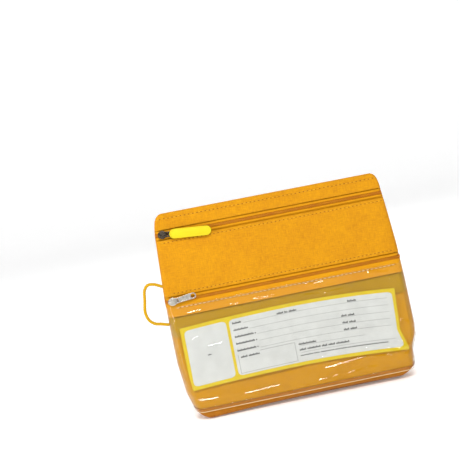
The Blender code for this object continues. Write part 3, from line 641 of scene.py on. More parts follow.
def tray():
    """The boxed bottom: canvas walls that round into the flat underside."""
    profile = [(11.75, 0.25), (11.9, 0.0), (9, 0.05), (6, 0.4), (4, 1.0), (2.4, 2.0), (1.1, 3.4), (0.3, 5.2)]
    profile += [(0, 7.5), (0, 12), (1.0, 12), (1.2, 7.5), (2.2, 5.0), (4.4, 2.4), (8, 1.1), (11.6, 0.9)]
    shares = columns(-1, 1)
    rings = []
    for height, inset in [(a * MM, b * MM) for a, b in profile]:
        half = []
        for side in (FRONT, BACK):
            heights = np.full(len(shares), height)
            corner, depth = corner_radius(heights), half_depth(heights)
            flat = half_width(heights, shares >= 0) - corner
            arc = seam_arc(corner, depth)
            q = shares * (flat + arc)
            turn = np.clip((np.abs(q) - flat) / arc, 0, 1) * math.pi / 2
            wave = 0.09 * MM * SOFT(q, FACE_LENGTH) * (height > 2 * MM)
            reach = np.maximum(corner - inset, 0.2 * MM)
            x = np.sign(q) * (np.minimum(np.abs(q), flat) + reach * np.sin(turn))
            y = side * np.maximum(depth - inset - wave, 0.0) * np.cos(turn)
            points = np.stack([x, y, foot_lift(x, y, height)], -1)
            half.append(points if side == FRONT else points[::-1])
        rings.append(np.concatenate([half[0], half[1][1:-1]]))
    places, count = np.concatenate(rings), len(rings[0])
    around = tube_faces(len(rings) + 1, count, False)
    faces = [tuple(v % len(places) for v in face) for face in around]
    # The walls and the underside take the darker bottom colour, which is painted shade.
    made = make_object("bottom_canvas", places, faces, SHADED_BOTTOM_PAINT, places[:, :2] + places[:, 2:] * [0, 1])
    settle(made, "pouch", ["bottom_gusset"])
    places, faces = layered(*[underside(z) for z in (0.05 * MM, 0.95 * MM)])
    settle(make_object("bottom_inset", places, faces, SHADED_BOTTOM_PAINT, places[:, :2]), "pouch")


def foot_lift(x, y, z):
    """The slack front edge of the bottom stands a little off the ground, more to the right."""
    rise = MM * np.interp(x / MM, [-102, -50, -12, 20, 70, 105], [0, 2.9, 4.7, 5.2, 4.7, 3.6])
    return z + rise * eased(np.clip(-y / FOOT_HALF_DEPTH, 0, 1)) * np.clip(1 - z / FOOT_Z, 0, 1)


def underside(z):
    xs, ys = np.linspace(-93, 93, 63) * MM, np.linspace(-9.2, 9.2, 9) * MM
    grid = np.stack(np.meshgrid(xs, ys, indexing="ij"), -1)
    return np.concatenate([grid, foot_lift(grid[..., 0], grid[..., 1], z)[..., None]], -1)


def cross():
    """The white cross, printed film that follows the canvas."""
    arm, reach, middle = 23.25 * MM, 74.5 * MM, 94 * MM
    lines = np.unique(np.round(np.concatenate([np.linspace(-reach, reach, 61), [-arm, arm]]), 7))
    q, d = np.meshgrid(lines, lines + middle, indexing="ij")
    inside = np.minimum(np.abs(q), np.abs(d - middle)) <= arm + 1e-9
    grids, uv = [], None
    for out in (0.34 * MM, 0.08 * MM):
        grid, uv = surface(BACK, q, d, out, back_relief, True)
        grids.append(grid)
    size = len(lines)
    keep = [
        (i, j) for i in range(size - 1) for j in range(size - 1)
        if all(inside[i + a, j + b] for a in (0, 1) for b in (0, 1))
        and min(abs(lines[i] + lines[i + 1]) / 2, abs(lines[j] + lines[j + 1]) / 2) < arm
    ]
    cells, faces, edges = set(keep), [], size * size
    for i, j in keep:
        ring = [(i, j), (i + 1, j), (i + 1, j + 1), (i, j + 1)]
        flat = [a * size + b for a, b in ring]
        faces.append(flat)
        faces.append([v + edges for v in reversed(flat)])
        for k, (di, dj) in enumerate(((0, -1), (1, 0), (0, 1), (-1, 0))):
            if (i + di, j + dj) not in cells:
                a, b = flat[k], flat[(k + 1) % 4]
                faces.append((a, a + edges, b + edges, b))
    used = sorted({v for face in faces for v in face})
    index = {v: k for k, v in enumerate(used)}
    places = np.concatenate([g.reshape(-1, 3) for g in grids])[used]
    maps = np.concatenate([uv.reshape(-1, 2)] * 2)[used]
    made = make_object("cross_film", places, [[index[v] for v in f] for f in faces], CROSS_PAINT, maps)
    settle(made, "pouch", ["cross_emblem"])


# Stitching


def capsule(length, radius, sides=8):
    """Places and faces of one stitch along x, flattened where it lies on the cloth."""
    steps = (-1, -0.82, -0.45, 0, 0.45, 0.82, 1)
    places = []
    for step in steps:
        r = radius * math.sqrt(max(1 - abs(step) ** 3, 0.02))
        for k in range(sides):
            a = 2 * math.pi * k / sides
            high = 0.75 * r * math.sin(a) - 0.35 * radius * step**2
            places.append((step * length / 2, r * math.cos(a), high))
    return np.array(places), tube_faces(len(steps), sides)


def stitch_row(
    name, side, row, low, high, relief, out=0.1 * MM, pitch=4 * MM, paint=THREAD_PAINT, radius=0.46 * MM,
    holes=True,
):
    """One mesh of stitches along a row between two places, lying on the relief of the cloth."""
    forms = [(*capsule(pitch * 0.6, radius), 0.0, out, 0)]
    # Between stitches, a small dark capsule in the hole colour: painted shade of the needle hole.
    if holes:
        forms.append((*capsule(1.3 * MM, 0.42 * MM), pitch / 2, out - 0.2 * MM, 1))
    draw = np.random.RandomState(len(name) * 7 + 1)
    parts, uvs, which = [], [], []
    for q in np.arange(math.ceil(low / pitch) + 0.5, high / pitch, 1.0) * pitch:
        wander = draw.uniform(-0.12, 0.12) * MM
        tilt = draw.uniform(-0.07, 0.07)
        for form, cells, ahead, lift, index in forms:
            drops = row + wander - form[:, 1] + tilt * form[:, 0]
            grid, uv = surface(side, q + ahead + form[:, 0], drops, lift + form[:, 2], relief, True)
            parts.append((grid, cells))
            uvs.append(uv)
            which += [index] * len(cells)
    paints = [paint, HOLE_SHADE_PAINT] if holes else [paint]
    return make_object(name, *merged(parts), (paints, which), np.concatenate(uvs), merge=1e-8)


def stitching():
    reach, sunk = 108 * MM, 0.02 * MM
    back = stitch_row("back_top_stitches", BACK, TOP_STITCHES, -reach, reach, back_top_relief)
    settle(back, "pouch")
    for name, low, high in HALVES:
        low, high = low * reach, high * reach
        top = stitch_row(f"header_stitches_{name}", FRONT, TOP_STITCHES, low, high, header_relief, sunk)
        hung(top)
        for place, row in zip(("upper", "lower"), PANEL_STITCHES):
            made = stitch_row(f"panel_{place}_stitches_{name}", FRONT, row, low, high, panel_relief, sunk)
            hung(made)
        # The row along the film's top edge is sewn in near-white thread, a painted highlight.
        made = stitch_row(
            f"pocket_stitches_{name}", FRONT, FILM_STITCHES, low, high, film_relief, 0.25 * MM, 4.2 * MM,
            GLINT_PALE_THREAD, 0.34 * MM,
        )
        hung(made)


# Zips


def zip_reach(drop, right):
    z = TOP_Z - drop * COS
    return float(round_length(z, right)) - 0.2 * MM


def tape(name, zip_drop, up, width, low, high, sunk=1.5):
    """One side's tape, from the coil's middle to its hidden edge."""
    near, far = zip_drop - up * 0.5 * MM, zip_drop - up * width
    rows = hem_rows(min(near, far), max(near, far), 0.6 * MM, 0.8 * MM)

    def dip(q, d):
        """The tape lies under the coil and slopes down beneath the fold of the canvas."""
        away = np.clip((np.abs(d - zip_drop) - 3.3 * MM) / (1.4 * MM), 0, 1)
        return (0.05 * SOFT(q, d * 0) - sunk * eased(away)) * MM

    shift = -0.9 * MM if sunk > 1 else -0.52 * MM
    return layer(name, FRONT, rows, columns(low, high, 2.5 * MM), TAPE_PAINT, dip, shift=shift)


def coil(name, zip_drop, up, low, high):
    """One side's coil: a flattened helix whose loops reach just past the middle line."""
    pitch, turn_steps, sides, radius = 1.24 * MM, 14, 6, 0.24 * MM
    turns = (math.ceil(low / pitch), 0) if high <= 0 else (0, math.floor(high / pitch) - 1)
    t = np.arange(turns[0] * turn_steps, turns[1] * turn_steps + 1) / turn_steps
    wide, tall = [np.sign(f) * np.abs(f) ** 0.75 for f in (np.cos(2 * math.pi * t), np.sin(2 * math.pi * t))]
    phase = 0.0 if up > 0 else 0.5
    middle = np.stack([(t + phase) * pitch, 0.47 * MM - 0.68 * MM * wide, -0.3 * MM + 0.4 * MM * tall], -1)
    ahead = np.gradient(middle, axis=0)
    ahead /= np.linalg.norm(ahead, axis=1)[:, None]
    first = np.cross(ahead, [1, 0, 0.001])
    first /= np.linalg.norm(first, axis=1)[:, None]
    second = np.cross(ahead, first)
    angles = [2 * math.pi * k / sides for k in range(sides)]
    tube = np.stack([middle + radius * (math.cos(a) * first + math.sin(a) * second) for a in angles], 1)
    world, uv = surface(FRONT, tube[..., 0], zip_drop - up * tube[..., 1], tube[..., 2], flat_relief, True)
    faces = tube_faces(len(middle), sides)
    return make_object(name, world.reshape(-1, 3), faces, COIL_PAINT, uv.reshape(-1, 2), merge=1e-8)


def sewing_cord(name, drop, low, high):
    """The thick thread that sews a coil to its tape, coloured dark red as painted shade of the grooves at the
    coil's edges.
    """
    return stitch_row(
        name, FRONT, drop, low, high, flat_relief, -0.3 * MM, 0.62 * MM, GROOVE_SHADE_PAINT, 0.3 * MM, holes=False
    )


def zips():
    flaps = {"main_upper": "header_flap", "main_lower": "front_flap", "pocket_lower": "pocket_front"}
    for zip_name, drop in (("main", MAIN_ZIP), ("pocket", POCKET_ZIP)):
        for place, up in (("upper", 1), ("lower", -1)):
            key = f"{zip_name}_{place}"
            width, sunk = (14.8 * MM, 0.05) if key == "pocket_lower" else (9 * MM, 1.5)
            for name, low, high in HALVES:
                q_low, q_high = low * zip_reach(drop, False), high * zip_reach(drop, True)
                sewn = drop - up * 1.32 * MM
                for piece, node_kind, slot in (
                    (tape(f"{key}_tape_{name}", drop, up, width, low, high, sunk), "tape", "zip_tape"),
                    (coil(f"{key}_coil_{name}", drop, up, q_low, q_high), "coil", "zip_coil"),
                    (sewing_cord(f"{key}_cord_{name}", sewn, q_low, q_high), None, "zip_tape"),
                ):
                    nodes = [f"{zip_name}_zip_{place}_{node_kind}"] if node_kind else ()
                    if key in flaps:
                        hung(piece, nodes)
                    else:
                        settle(piece, "pouch", nodes)


def face_frame(x, drop, out, tilt):
    """A frame on the zip face: x along the tilted length, y up the face, z out of it."""
    right, up, away = Vector((1, 0, 0)), Vector((0, SIN, COS)), Vector((0, -COS, SIN))
    ahead, across = math.cos(tilt) * right + math.sin(tilt) * up, math.cos(tilt) * up - math.sin(tilt) * right
    origin = Vector((x, -(TOP_HALF_DEPTH + drop * SIN + out * COS), TOP_Z - drop * COS + out * SIN))
    turn = Matrix((ahead, across, away)).transposed().to_4x4()
    return Matrix.Translation(origin) @ turn


def rounded(points, radii, steps=6):
    """A closed outline with its corners rounded to the given radii."""
    found = []
    for i, radius in enumerate(radii):
        before, here, after = [Vector(points[(i + k) % len(points)]) for k in (-1, 0, 1)]
        a, b = (before - here).normalized(), (after - here).normalized()
        half = math.acos(max(-1, min(1, a.dot(b)))) / 2
        if half > 1.55:  # nearly straight, so there is no corner to round
            found.append(here)
            continue
        middle = here + (a + b).normalized() * (radius / math.sin(half))
        start, end = [here + way * (radius / math.tan(half)) - middle for way in (a, b)]
        turn = start.angle_signed(end)
        for k in range(steps + 1):
            cos, sin = math.cos(-turn * k / steps), math.sin(-turn * k / steps)
            found.append(middle + Vector((start.x * cos - start.y * sin, start.x * sin + start.y * cos)))
    return [tuple(v * MM) for v in found]


def disc(x, y, radius, steps=40):
    turns = [2 * math.pi * k / steps for k in range(steps)]
    return [((x + radius * math.cos(a)) * MM, (y + radius * math.sin(a)) * MM) for a in turns]


def box_outline(x_low, x_high, y_high, radius):
    """A rounded rectangle, even about the x axis."""
    corners = [(x_low, -y_high), (x_high, -y_high), (x_high, y_high), (x_low, y_high)]
    return rounded(corners, [radius] * 4)


def stadium(start, end, half, steps=20):
    turns = [math.pi * k / steps - math.pi / 2 for k in range(steps + 1)]
    right = [((end - half + half * math.cos(a)) * MM, half * math.sin(a) * MM) for a in turns]
    return right + [((start + half - half * math.cos(a)) * MM, -half * math.sin(a) * MM) for a in turns]


def stamped(outlines, low, high, bevel):
    """Places and faces of a plate with rounded edges. The outlines after the first are holes."""
    curve = bpy.data.curves.new("stamp", "CURVE")
    curve.dimensions, curve.fill_mode = "2D", "BOTH"
    curve.extrude = (high - low) * MM / 2 - bevel * MM
    curve.bevel_depth, curve.offset, curve.bevel_resolution = bevel * MM, -bevel * MM, 3
    for outline in outlines:
        spline = curve.splines.new("POLY")
        spline.points.add(len(outline) - 1)
        for point, (x, y) in zip(spline.points, outline):
            point.co = (x, y, 0, 1)
        spline.use_cyclic_u = True
    holder = bpy.data.objects.new("stamp", curve)
    bpy.context.scene.collection.objects.link(holder)
    bpy.context.view_layer.update()
    data = bpy.data.meshes.new_from_object(holder.evaluated_get(bpy.context.evaluated_depsgraph_get()))
    lift = (low + high) * MM / 2
    places = np.array([(v.co.x, v.co.y, v.co.z + lift) for v in data.vertices])
    faces = [tuple(f.vertices) for f in data.polygons]
    bpy.data.objects.remove(holder)
    bpy.data.meshes.remove(data)
    bpy.data.curves.remove(curve)
    return places, faces


def domed(long, wide, tail, low, high, rise, rings=9, steps=64):
    """The slider's pointed oval plate, domed on top."""
    outline = []
    for k in range(steps):
        cos, sin = math.cos(2 * math.pi * k / steps), math.sin(2 * math.pi * k / steps)
        outline.append((long * cos, wide * (1 - (1 - tail) * max(cos, 0) ** 1.5) * sin))
    profile = [(1 - 0.06, low), (1.0, low + 0.12), (1.0, high - 0.2), (0.97, high - 0.05)]
    profile += [(r, high - 0.05 + rise * (1 - r * r)) for r in np.linspace(0.93, 0.06, rings)]
    places = [(x * share, y * share, z) for share, z in profile for x, y in outline]
    return np.array(places) * MM, tube_faces(len(profile), steps)


def bent_strip(route, half, thick):
    """A strip of metal along a route of (x, z), with rounded edges."""
    fine = smooth_route([Vector((x, 0, z)) for x, z in route], 6)
    there, back, edge = (0, 0.8, 1.57), (1.57, 0.8, 0), 0.18
    corners = ((1, 1, there), (-1, 1, back), (-1, -1, there), (1, -1, back))
    section = [
        (y * (half - edge + edge * math.cos(a)), z * (thick / 2 - edge + edge * math.sin(a)))
        for y, z, turns in corners for a in turns
    ]
    places = []
    for i, point in enumerate(fine):
        ahead = (fine[min(i + 1, len(fine) - 1)] - fine[max(i - 1, 0)]).normalized()
        away = Vector((-ahead.z, 0, ahead.x))
        places += [tuple((point + Vector((0, y, 0)) + away * z) * MM) for y, z in section]
    return np.array(places), tube_faces(len(fine), len(section))


def built(name, parts, place, paint, body, nodes):
    """One piece out of several closed parts in a frame on the face."""
    places, faces = merged(parts)
    made = make_object(name, [place @ Vector(p) for p in places], faces, paint, merge=1e-7, sharp=50)
    return settle(made, body, nodes)


def slider(name, x, drop, paint):
    bail = [(-3.5, 1.5), (-3.7, 2.6), (-2.6, 3.75), (0, 4.05), (2.6, 3.75), (3.7, 2.6), (3.5, 1.5)]
    parts = [
        domed(4.9, 3.9, 0.62, 0.8, 1.55, 0.35), domed(4.8, 3.8, 0.62, -3.2, -2.5, 0.05),
        bent_strip(bail, 1.0, 0.75), stamped([box_outline(-4.3, -2.1, 0.4, 0.3)], -2.7, 1.0, 0.1),
    ]
    built(f"{name}_body", parts, face_frame(x, drop, 0, 0), paint, name, [name])


def metal_parts():
    """Sliders and pulls with rounded edges, and the CAD's own instruments with softer ones."""
    slider("main_slider", MAIN_SLIDER_X, MAIN_ZIP, GUNMETAL)
    slider("pocket_slider", POCKET_SLIDER_X, POCKET_ZIP, NICKEL)
    grip_place = face_frame(MAIN_SLIDER_X, MAIN_ZIP, PULL_LIFT, math.radians(-5))
    tab_place = face_frame(POCKET_SLIDER_X, POCKET_ZIP, PULL_LIFT, math.radians(6.5))
    window = box_outline(0.85, 5.2, 1.45, 0.4)
    link = rounded([(-0.55, -2.6), (16, -2.6), (16, 2.6), (-0.55, 2.6)], [0.7, 2.2, 2.2, 0.7])
    side = [(-0.55, -2.9), (6.5, -2.5), (14, -2.7), (22.5, -3.1)]
    tab = rounded(side + [(x, -y) for x, y in side[::-1]], [0.9, 6, 8, 2.8, 2.8, 8, 6, 0.9])
    panel = rounded([(7.3, -1.55), (15.6, -1.75), (15.6, 1.75), (7.3, 1.55)], [0.5] * 4)
    strip = [stamped([link, window], -0.5, 0.5, 0.2)]
    handle = [
        stamped([stadium(6.2, 46, 4.6), stadium(7.5, 44.7, 3.3)[::-1]], -1.5, 1.5, 0.6),
        stamped([stadium(7.2, 45, 3.6)], -1.1, 1.15, 0.15),
    ]
    plate = [
        stamped([tab, window, disc(19.4, 0, 2.0), panel], -0.5, 0.5, 0.2),
        stamped([box_outline(6.9, 16, 2, 0.4)], -0.4, 0.08, 0.05),
    ]
    for name, parts, place, paint, body, cad, slot in (
        ("main_pull_strip", strip, grip_place, GUNMETAL, "main_pull", "main_pull_link", "gunmetal"),
        ("main_pull_handle", handle, grip_place, GRIP_PAINT, "main_pull", "main_pull_grip", "yellow_plastic"),
        ("pocket_pull_tab", plate, tab_place, NICKEL, "pocket_pull", "pocket_pull", "nickel"),
    ):
        built(name, parts, place, paint, body, [cad])
    for name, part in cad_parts.items():
        if not name.startswith(("scissors", "tweezers")):
            continue
        part.data.materials.clear()
        part.data.materials.append(STEEL)
        edges = part.modifiers.new("edges", "BEVEL")
        edges.width, edges.segments, edges.limit_method = 0.15 * MM, 3, "ANGLE"
        edges.angle_limit = math.radians(40)


# Card


def card_bend(q, drop):
    """How the card bows: its middle rides up and forward, and its lower right corner folds back."""
    share = q / (105 * MM)
    pull = np.clip((q - 62 * MM) / (43 * MM), 0, 1)
    slide = np.interp(drop, [110 * MM, 150 * MM, 171 * MM], [-1.2 * MM, -3.4 * MM, 2.6 * MM]) * pull * pull
    arch = np.where(q < 0, 3.3, 5.6) * share**2 - 3.2
    corner = np.clip((q - 88 * MM) / (20 * MM), 0, 1) * np.clip((drop - 148 * MM) / (22 * MM), 0, 1)
    buckle = 1.1 * bell(drop, 151 * MM, 4.5 * MM) * np.clip((q - 30 * MM) / (60 * MM), 0, 1)
    left_foot = np.clip((-q - 84 * MM) / (20 * MM), 0, 1) * np.clip((drop - 140 * MM) / (28 * MM), 0, 1)
    return slide, arch * MM, (0.2 * SOFT(q, drop) - 1.9 * corner - left_foot - buckle) * MM


def card_place(q, drop, out):
    """World places on the bent card for flat places on it."""
    slide, arch, lift = card_bend(q, drop)
    return surface(FRONT, q + slide, drop + arch, out + lift - 1.65 * MM, flat_relief, True)


def rounded_patch(low_q, high_q, low_d, high_d, radius, step=2.5 * MM):
    """Grid lines of a rectangle with rounded corners, as rows of (q, drop)."""
    rows = []
    count = max(2, round((high_d - low_d) / step))
    drops = {low_d + (high_d - low_d) * k / count for k in range(count + 1)} | {low_d, high_d}
    for k in range(5):
        drops |= {low_d + radius * k / 4, high_d - radius * k / 4}
    for d in sorted(drops):
        near = min(d - low_d, high_d - d)
        pull = radius - math.sqrt(max(radius**2 - (radius - near) ** 2, 0)) if near < radius else 0
        rows.append((d, low_q + pull, high_q - pull))
    return rows


def print_patch(rows, out, cols):
    """A printed area on the card, as a thin closed layer."""
    t = np.linspace(0, 1, cols)[None, :]
    d = np.array([r[0] for r in rows])[:, None] + 0 * t
    q = np.array([r[1] for r in rows])[:, None] * (1 - t) + np.array([r[2] for r in rows])[:, None] * t
    outer, _ = card_place(q, d, out)
    inner, _ = card_place(q, d, out - 0.04 * MM)
    return layered(outer, inner)


def joined(name, patches, paint):
    return make_object(name, *merged(patches), paint, merge=1e-8, smooth=False)


def box_rows(low_q, high_q, low_d, high_d):
    return [(low_d, low_q, high_q), ((low_d + high_d) / 2, low_q, high_q), (high_d, low_q, high_q)]


def words(patches, q, drop, lengths, height, out):
    """A greeked line of print: short dark bars in place of words."""
    stroke = 0.4 * height
    for length in lengths:
        for index in range(max(1, round(length * MM / (1.35 * stroke)))):
            low = drop + (0.3 * height if (index * 7 + round(length)) % 3 else 0)
            rows = box_rows(q, q + stroke, low, drop + height)
            patches.append(print_patch(rows, out, 2))
            q += 1.35 * stroke
        q += 0.55 * height
    return q


def info_card():
    half, top, foot = 105.5 * MM, 110.4 * MM, 171 * MM
    qs = np.linspace(-half, half, 85)[None, :]
    ds = np.linspace(top, foot, 27)[:, None]
    outer, uv = card_place(qs + 0 * ds, ds + 0 * qs, 0)
    inner, _ = card_place(qs + 0 * ds, ds + 0 * qs, -0.35 * MM)
    places, faces = layered(outer, inner)
    card = make_object("info_card_stock", places, faces, CARD_YELLOW, np.concatenate([uv.reshape(-1, 2)] * 2))
    settle(card, "card", ["info_card"])
    edge, split = 3.4 * MM, -60 * MM
    panels = [
        rounded_patch(-half + edge, split - 1.4 * MM, top + edge, foot - edge, 4 * MM),
        rounded_patch(split + 1.4 * MM, half - edge, top + edge, foot - edge, 4 * MM),
    ]
    white = joined("info_card_panels", [print_patch(p, 0.06 * MM, 60) for p in panels], CARD_PAINT)
    settle(white, "card")
    rules, marks, level = [], [], 0.1 * MM
    left, right = split + 4.6 * MM, half - 9 * MM
    for index in range(7):
        drop = top + (8.6 + 6.6 * index) * MM
        start = left + ((9, 14, 20, 21, 21, 58, 58)[index] + 1.5) * MM
        rules.append(print_patch(box_rows(start, right, drop, drop + 0.22 * MM), level, 50))
    for index, lengths in enumerate(((9,), (14,), (18, 1), (18, 1), (18, 1), (7, 11))):
        start = left + (2 if index == 5 else 0) * MM
        words(marks, start, top + (6.2 + 6.6 * index) * MM, lengths, 2 * MM, level)
    words(marks, -12 * MM, top + 6.2 * MM, (7, 3, 8), 2 * MM, level)
    words(marks, 57 * MM, top + 6.2 * MM, (9,), 2 * MM, level)
    for index in (2, 3, 4):
        words(marks, 48.5 * MM, top + (6.2 + 6.6 * index) * MM, (5, 7), 2 * MM, level)
    words(marks, 3 * MM, top + 39 * MM, (17,), 2 * MM, level)
    words(marks, 3 * MM, top + 44.4 * MM, (7, 13, 5, 7, 13), 2 * MM, level)
    words(marks, 3 * MM, top + 50.4 * MM, (12, 6, 10, 3, 5, 6, 3, 26, 9), 1.2 * MM, level)
    words(marks, -84 * MM, top + 30 * MM, (4,), 1.4 * MM, level)
    frame_low, frame_high, box_top, box_foot = left - 0.5 * MM, left + 55 * MM, top + 37.6 * MM, foot - 5 * MM
    line = 0.3 * MM
    for rectangle in (
        (frame_low, frame_high, box_foot - line, box_foot), (frame_low, frame_low + line, box_top, box_foot),
        (frame_high - line, frame_high, box_top, box_foot),
        (left + 21 * MM, frame_high, box_top, box_top + line),
    ):
        rules.append(print_patch(box_rows(*rectangle), level, 20))
    settle(joined("info_card_rules", rules, INK_LINE), "card")
    settle(joined("info_card_marks", marks, INK), "card")


# Elastic loop


def smooth_route(points, steps):
    ends = [2 * points[0] - points[1], *points, 2 * points[-1] - points[-2]]
    found = []
    for a, b, c, d in zip(ends, ends[1:], ends[2:], ends[3:]):
        for step in range(steps):
            t = step / steps
            bend = 2 * b + (c - a) * t + (2 * a - 5 * b + 4 * c - d) * t**2
            found.append((bend + (3 * b - a - 3 * c + d) * t**3) / 2)
    return [*found, points[-1]]


def side_loop():
    """Braided elastic: a tube whose sheath rises where two strands cross."""
    route = smooth_route([Vector(p) * MM for p in LOOP_POINTS_MM], 24)
    sides, radius = 20, LOOP_DIAMETER / 2 - 0.06 * MM
    along, places, uvs = 0.0, [], []
    for i, point in enumerate(route):
        before, after = route[max(i - 1, 0)], route[min(i + 1, len(route) - 1)]
        along += (point - before).length if i else 0
        ahead = (after - before).normalized()
        first = ahead.cross(Vector((0, 1, 0))).normalized()
        second = ahead.cross(first)
        for k in range(sides):
            a = 2 * math.pi * k / sides
            twist = along / (2.4 * MM) * 2 * math.pi
            braid = 0.5 * (math.cos(3 * a + twist) + math.cos(3 * a - twist))
            r = radius + 0.09 * MM * braid
            places.append(point + r * (math.cos(a) * first + math.sin(a) * second))
            uvs.append((a * radius, along))
    made = make_object("elastic_loop", places, tube_faces(len(route), sides), ELASTIC_PAINT, uvs, merge=1e-8)
    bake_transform(made)
    settle(made, None, ["side_loop"])


def bindings():
    """Bound seam allowances inside the pouch, at the two sides and along the top."""
    for name, sign in (("left", -1), ("right", 1)):
        zs = np.linspace(12, 172, 60) * MM
        outer = np.interp(zs, *(RIGHT_TABLE if sign > 0 else LEFT_TABLE)) - 2.6 * MM
        xs = sign * np.stack([outer - 6 * MM * t for t in np.linspace(0, 1, 7)], 1)
        zs = np.repeat(zs[:, None], 7, 1)
        half = 0.35 * MM * np.sqrt(1 - (np.linspace(-1, 1, 7) * 0.97) ** 2)[None, :]
        sway = 0.4 * MM * np.sin(zs / (13 * MM))
        near = np.stack([xs, -half + sway, zs], -1)
        far = np.stack([xs, half + sway, zs], -1)
        places, faces = layered(near, far)
        made = make_object(f"{name}_binding", places, faces, TAPE_PAINT, places[:, [0, 2]])
        settle(made, "pouch", [f"{name}_seam_binding"])
    xs = np.repeat(np.linspace(-100, 100, 90)[None, :], 6, 0) * MM
    zs = np.repeat(np.linspace(190, 198.6, 6)[:, None], 90, 1) * MM
    half = 0.4 * MM * np.sqrt(1 - (np.linspace(-1, 1, 6) * 0.9) ** 2)[:, None] + 0 * xs
    places, faces = layered(np.stack([xs, -half, zs], -1), np.stack([xs, half, zs], -1))
    made = make_object("top_binding", places, faces, TAPE_PAINT, places[:, [0, 2]])
    settle(made, "pouch", ["top_seam_binding"])


# Contents


def wound(name, cad, paint, core, thickness, axis, ribs=0.0):
    """A bandage wound on itself, from its core out to the CAD roll's radius."""
    low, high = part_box(cad)
    radius = (high.z - low.z) / 2 - 0.1 * MM
    length = (high.x - low.x) if axis == "X" else (high.y - low.y)
    steps = int((radius - core) / thickness * 36)
    t = np.linspace(0, 1, 24 if ribs else 10) - 0.5
    outer, inner = [], []
    for i in range(steps + 1):
        a = 2 * math.pi * i / 36
        r = core + thickness * i / 36
        along = t * length * (1 - 0.01 * math.sin(i * 0.37))
        wave = ribs * MM * np.sin(t * length / MM * 2.2 + a)
        for store, gone in ((outer, 0.0), (inner, 0.8 * thickness)):
            here = np.maximum(r - gone + wave, 0.3 * MM)
            flat = [here * math.cos(a), here * math.sin(a)]
            store.append(np.stack([along, *flat] if axis == "X" else [flat[0], along, flat[1]], -1))
    places, faces = layered(np.array(outer), np.array(inner))
    uv = np.stack(np.meshgrid(t * length, np.arange(steps + 1) * 1.2 * MM, indexing="xy"), -1).reshape(-1, 2)
    middle = np.array((low + high) / 2)
    made = make_object(name, places + middle, faces, paint, np.concatenate([uv, uv]), merge=1e-8)
    return settle(made, "pouch", [cad])


def packet(name, cad, side, x, foot, half, height, out, thick, paint, seal, crinkle=0.12):
    """A flat packet: a low pillow with crimped, sealed edges. Its sizes are in mm."""
    drop_foot = (TOP_Z - foot * MM) / COS
    q, d = np.meshgrid(np.linspace(-half, half, 57) * MM, np.linspace(0, height, 57) * MM, indexing="xy")
    edge = np.minimum(half * MM - np.abs(q), np.minimum(d, height * MM - d))
    rise = eased(np.clip((edge - seal * MM) / (6 * MM), 0, 1))
    crimp = 0.1 * np.sin((q + d) / MM * 3.2) * (edge < seal * MM)
    crease = waves(len(name) * 3, 8, 9 * MM, 30 * MM)(q, d) * crinkle * rise
    full = thick * MM / 2 * (0.25 + 0.72 * rise)
    layers = []
    for sign in (1, -1):
        off = out * MM - thick * MM / 2 + sign * full + (crimp + crease) * MM * 0.5
        y = TOP_HALF_DEPTH + (drop_foot - d) * SIN + off * COS
        z = TOP_Z - (drop_foot - d) * COS + off * SIN
        layers.append(np.stack([x * MM + q, side * y, z], -1))
    places, faces = layered(*layers)
    made = make_object(name, places, faces, paint, np.concatenate([np.stack([q, d], -1).reshape(-1, 2)] * 2))
    return settle(made, "pouch", [cad])


def contents():
    wound("bandage_wound", "bandage_roll", CREPE, 1.2 * MM, 1.3 * MM, "X", 0.12)
    wound("gauze_wound", "gauze_roll", GAUZE, 1.2 * MM, 1.1 * MM, "X", 0.05)
    wound("tape_wound", "adhesive_tape", GAUZE, 15 * MM, 0.9 * MM, "Y")
    wound("tape_spool", "tape_core", CORE_CARD, 13.4 * MM, 0.5 * MM, "Y")
    packet("pad_front", "gauze_pad_1", FRONT, -52, 30, 38, 76, -6, 2.4, PAPER, 5)
    packet("pad_behind", "gauze_pad_2", FRONT, -52, 30, 38, 76, -8.8, 2.4, PAPER, 5)
    packet("plasters", "plaster_box", FRONT, 17, 26, 24, 78, -6, 4.6, BOX_CARD, 0.3, 0.03)
    packet("wipe_front", "wipe_sachet_1", FRONT, 70, 50, 28, 56, -6, 1.5, FOIL, 4)
    packet("wipe_behind", "wipe_sachet_2", FRONT, 70, 50, 28, 56, -7.9, 1.5, FOIL, 4)
    packet("blanket", "foil_blanket", BACK, -52, 31, 36, 76, -5.8, 3.9, BLANKET, 2, 0.3)


# Stage, light and camera


def light(kind, name, place, aim, energy, **settings):
    data = bpy.data.lights.new(name, kind)
    data.energy = energy
    for key, value in settings.items():
        setattr(data, key, value)
    made = bpy.data.objects.new(name, data)
    made.location = place
    made.rotation_euler = (Vector(aim) - Vector(place)).to_track_quat("-Z", "Y").to_euler()
    bpy.context.scene.collection.objects.link(made)


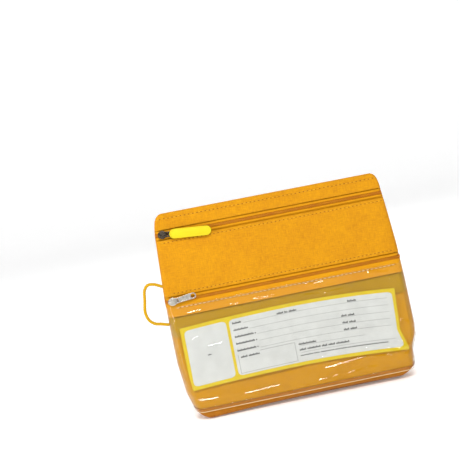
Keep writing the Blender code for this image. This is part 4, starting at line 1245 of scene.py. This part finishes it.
def studio():
    """A pale bowl for the floor and its surroundings, and the lights."""
    curve = [(2.6 + 0.9 * math.sin(a), 0.9 - 0.9 * math.cos(a)) for a in np.linspace(0.1, math.pi / 2, 12)]
    profile, around = [(0.01, 0), (2.6, 0), *curve, (3.5, 2.4)], 64
    turns = [2 * math.pi * k / around for k in range(around)]
    places = [(r * math.cos(a), r * math.sin(a), z) for r, z in profile for a in turns]
    paint, tree, shader = blank("floor_white")
    white = (1, 1, 1, 1)
    feed(tree, shader, {"Base Color": (0.98, 0.98, 0.98, 1), "Roughness": 0.9})
    feed(tree, shader, {"Emission Color": white, "Emission Strength": 0.15})
    faces = tube_faces(len(profile), around, False) + [tuple(range(around))]
    make_object("floor", places, faces, paint)
    world = bpy.data.worlds.new("studio")
    world.use_nodes = True
    feed(world.node_tree, world.node_tree.nodes["Background"], {"Color": white, "Strength": 0.33})
    bpy.context.scene.world = world
    bpy.context.scene.view_settings.view_transform = "Standard"
    origin, pouch_middle = (0, 0, 0), (0, 0, 0.1)
    light("SUN", "sun", (0.02, -1.0, 1.05), origin, 0.6, angle=math.radians(12))
    light("SUN", "rear_sun", (0.3, 1.0, 0.85), origin, 0.9, angle=math.radians(60))
    for name, place, wide, high, power in (
        ("key", (-0.15, -0.95, 1.0), 0.6, 0.2, 8.5), ("fill", (-1.2, -0.5, 0.3), 0.16, 0.5, 5.2),
        ("back", (0.3, 1.3, 1.0), 0.8, 0.5, 4),
    ):
        light("AREA", name, place, pouch_middle, power, shape="RECTANGLE", size=wide, size_y=high)


def camera():
    data = bpy.data.cameras.new("camera")
    data.lens, data.sensor_width = 85, 36
    made = bpy.data.objects.new("camera", data)
    made.location = (-0.1135, -1.0319, 0.2588)
    made.rotation_euler = [math.radians(a) for a in (85.122, 10.721, -4.981)]
    bpy.context.scene.collection.objects.link(made)
    bpy.context.scene.camera = made


def main():
    camera()
    side_loop()
    studio()
    canvas_panels()
    pocket()
    tray()
    cross()
    stitching()
    zips()
    metal_parts()
    info_card()
    bindings()
    contents()


main()
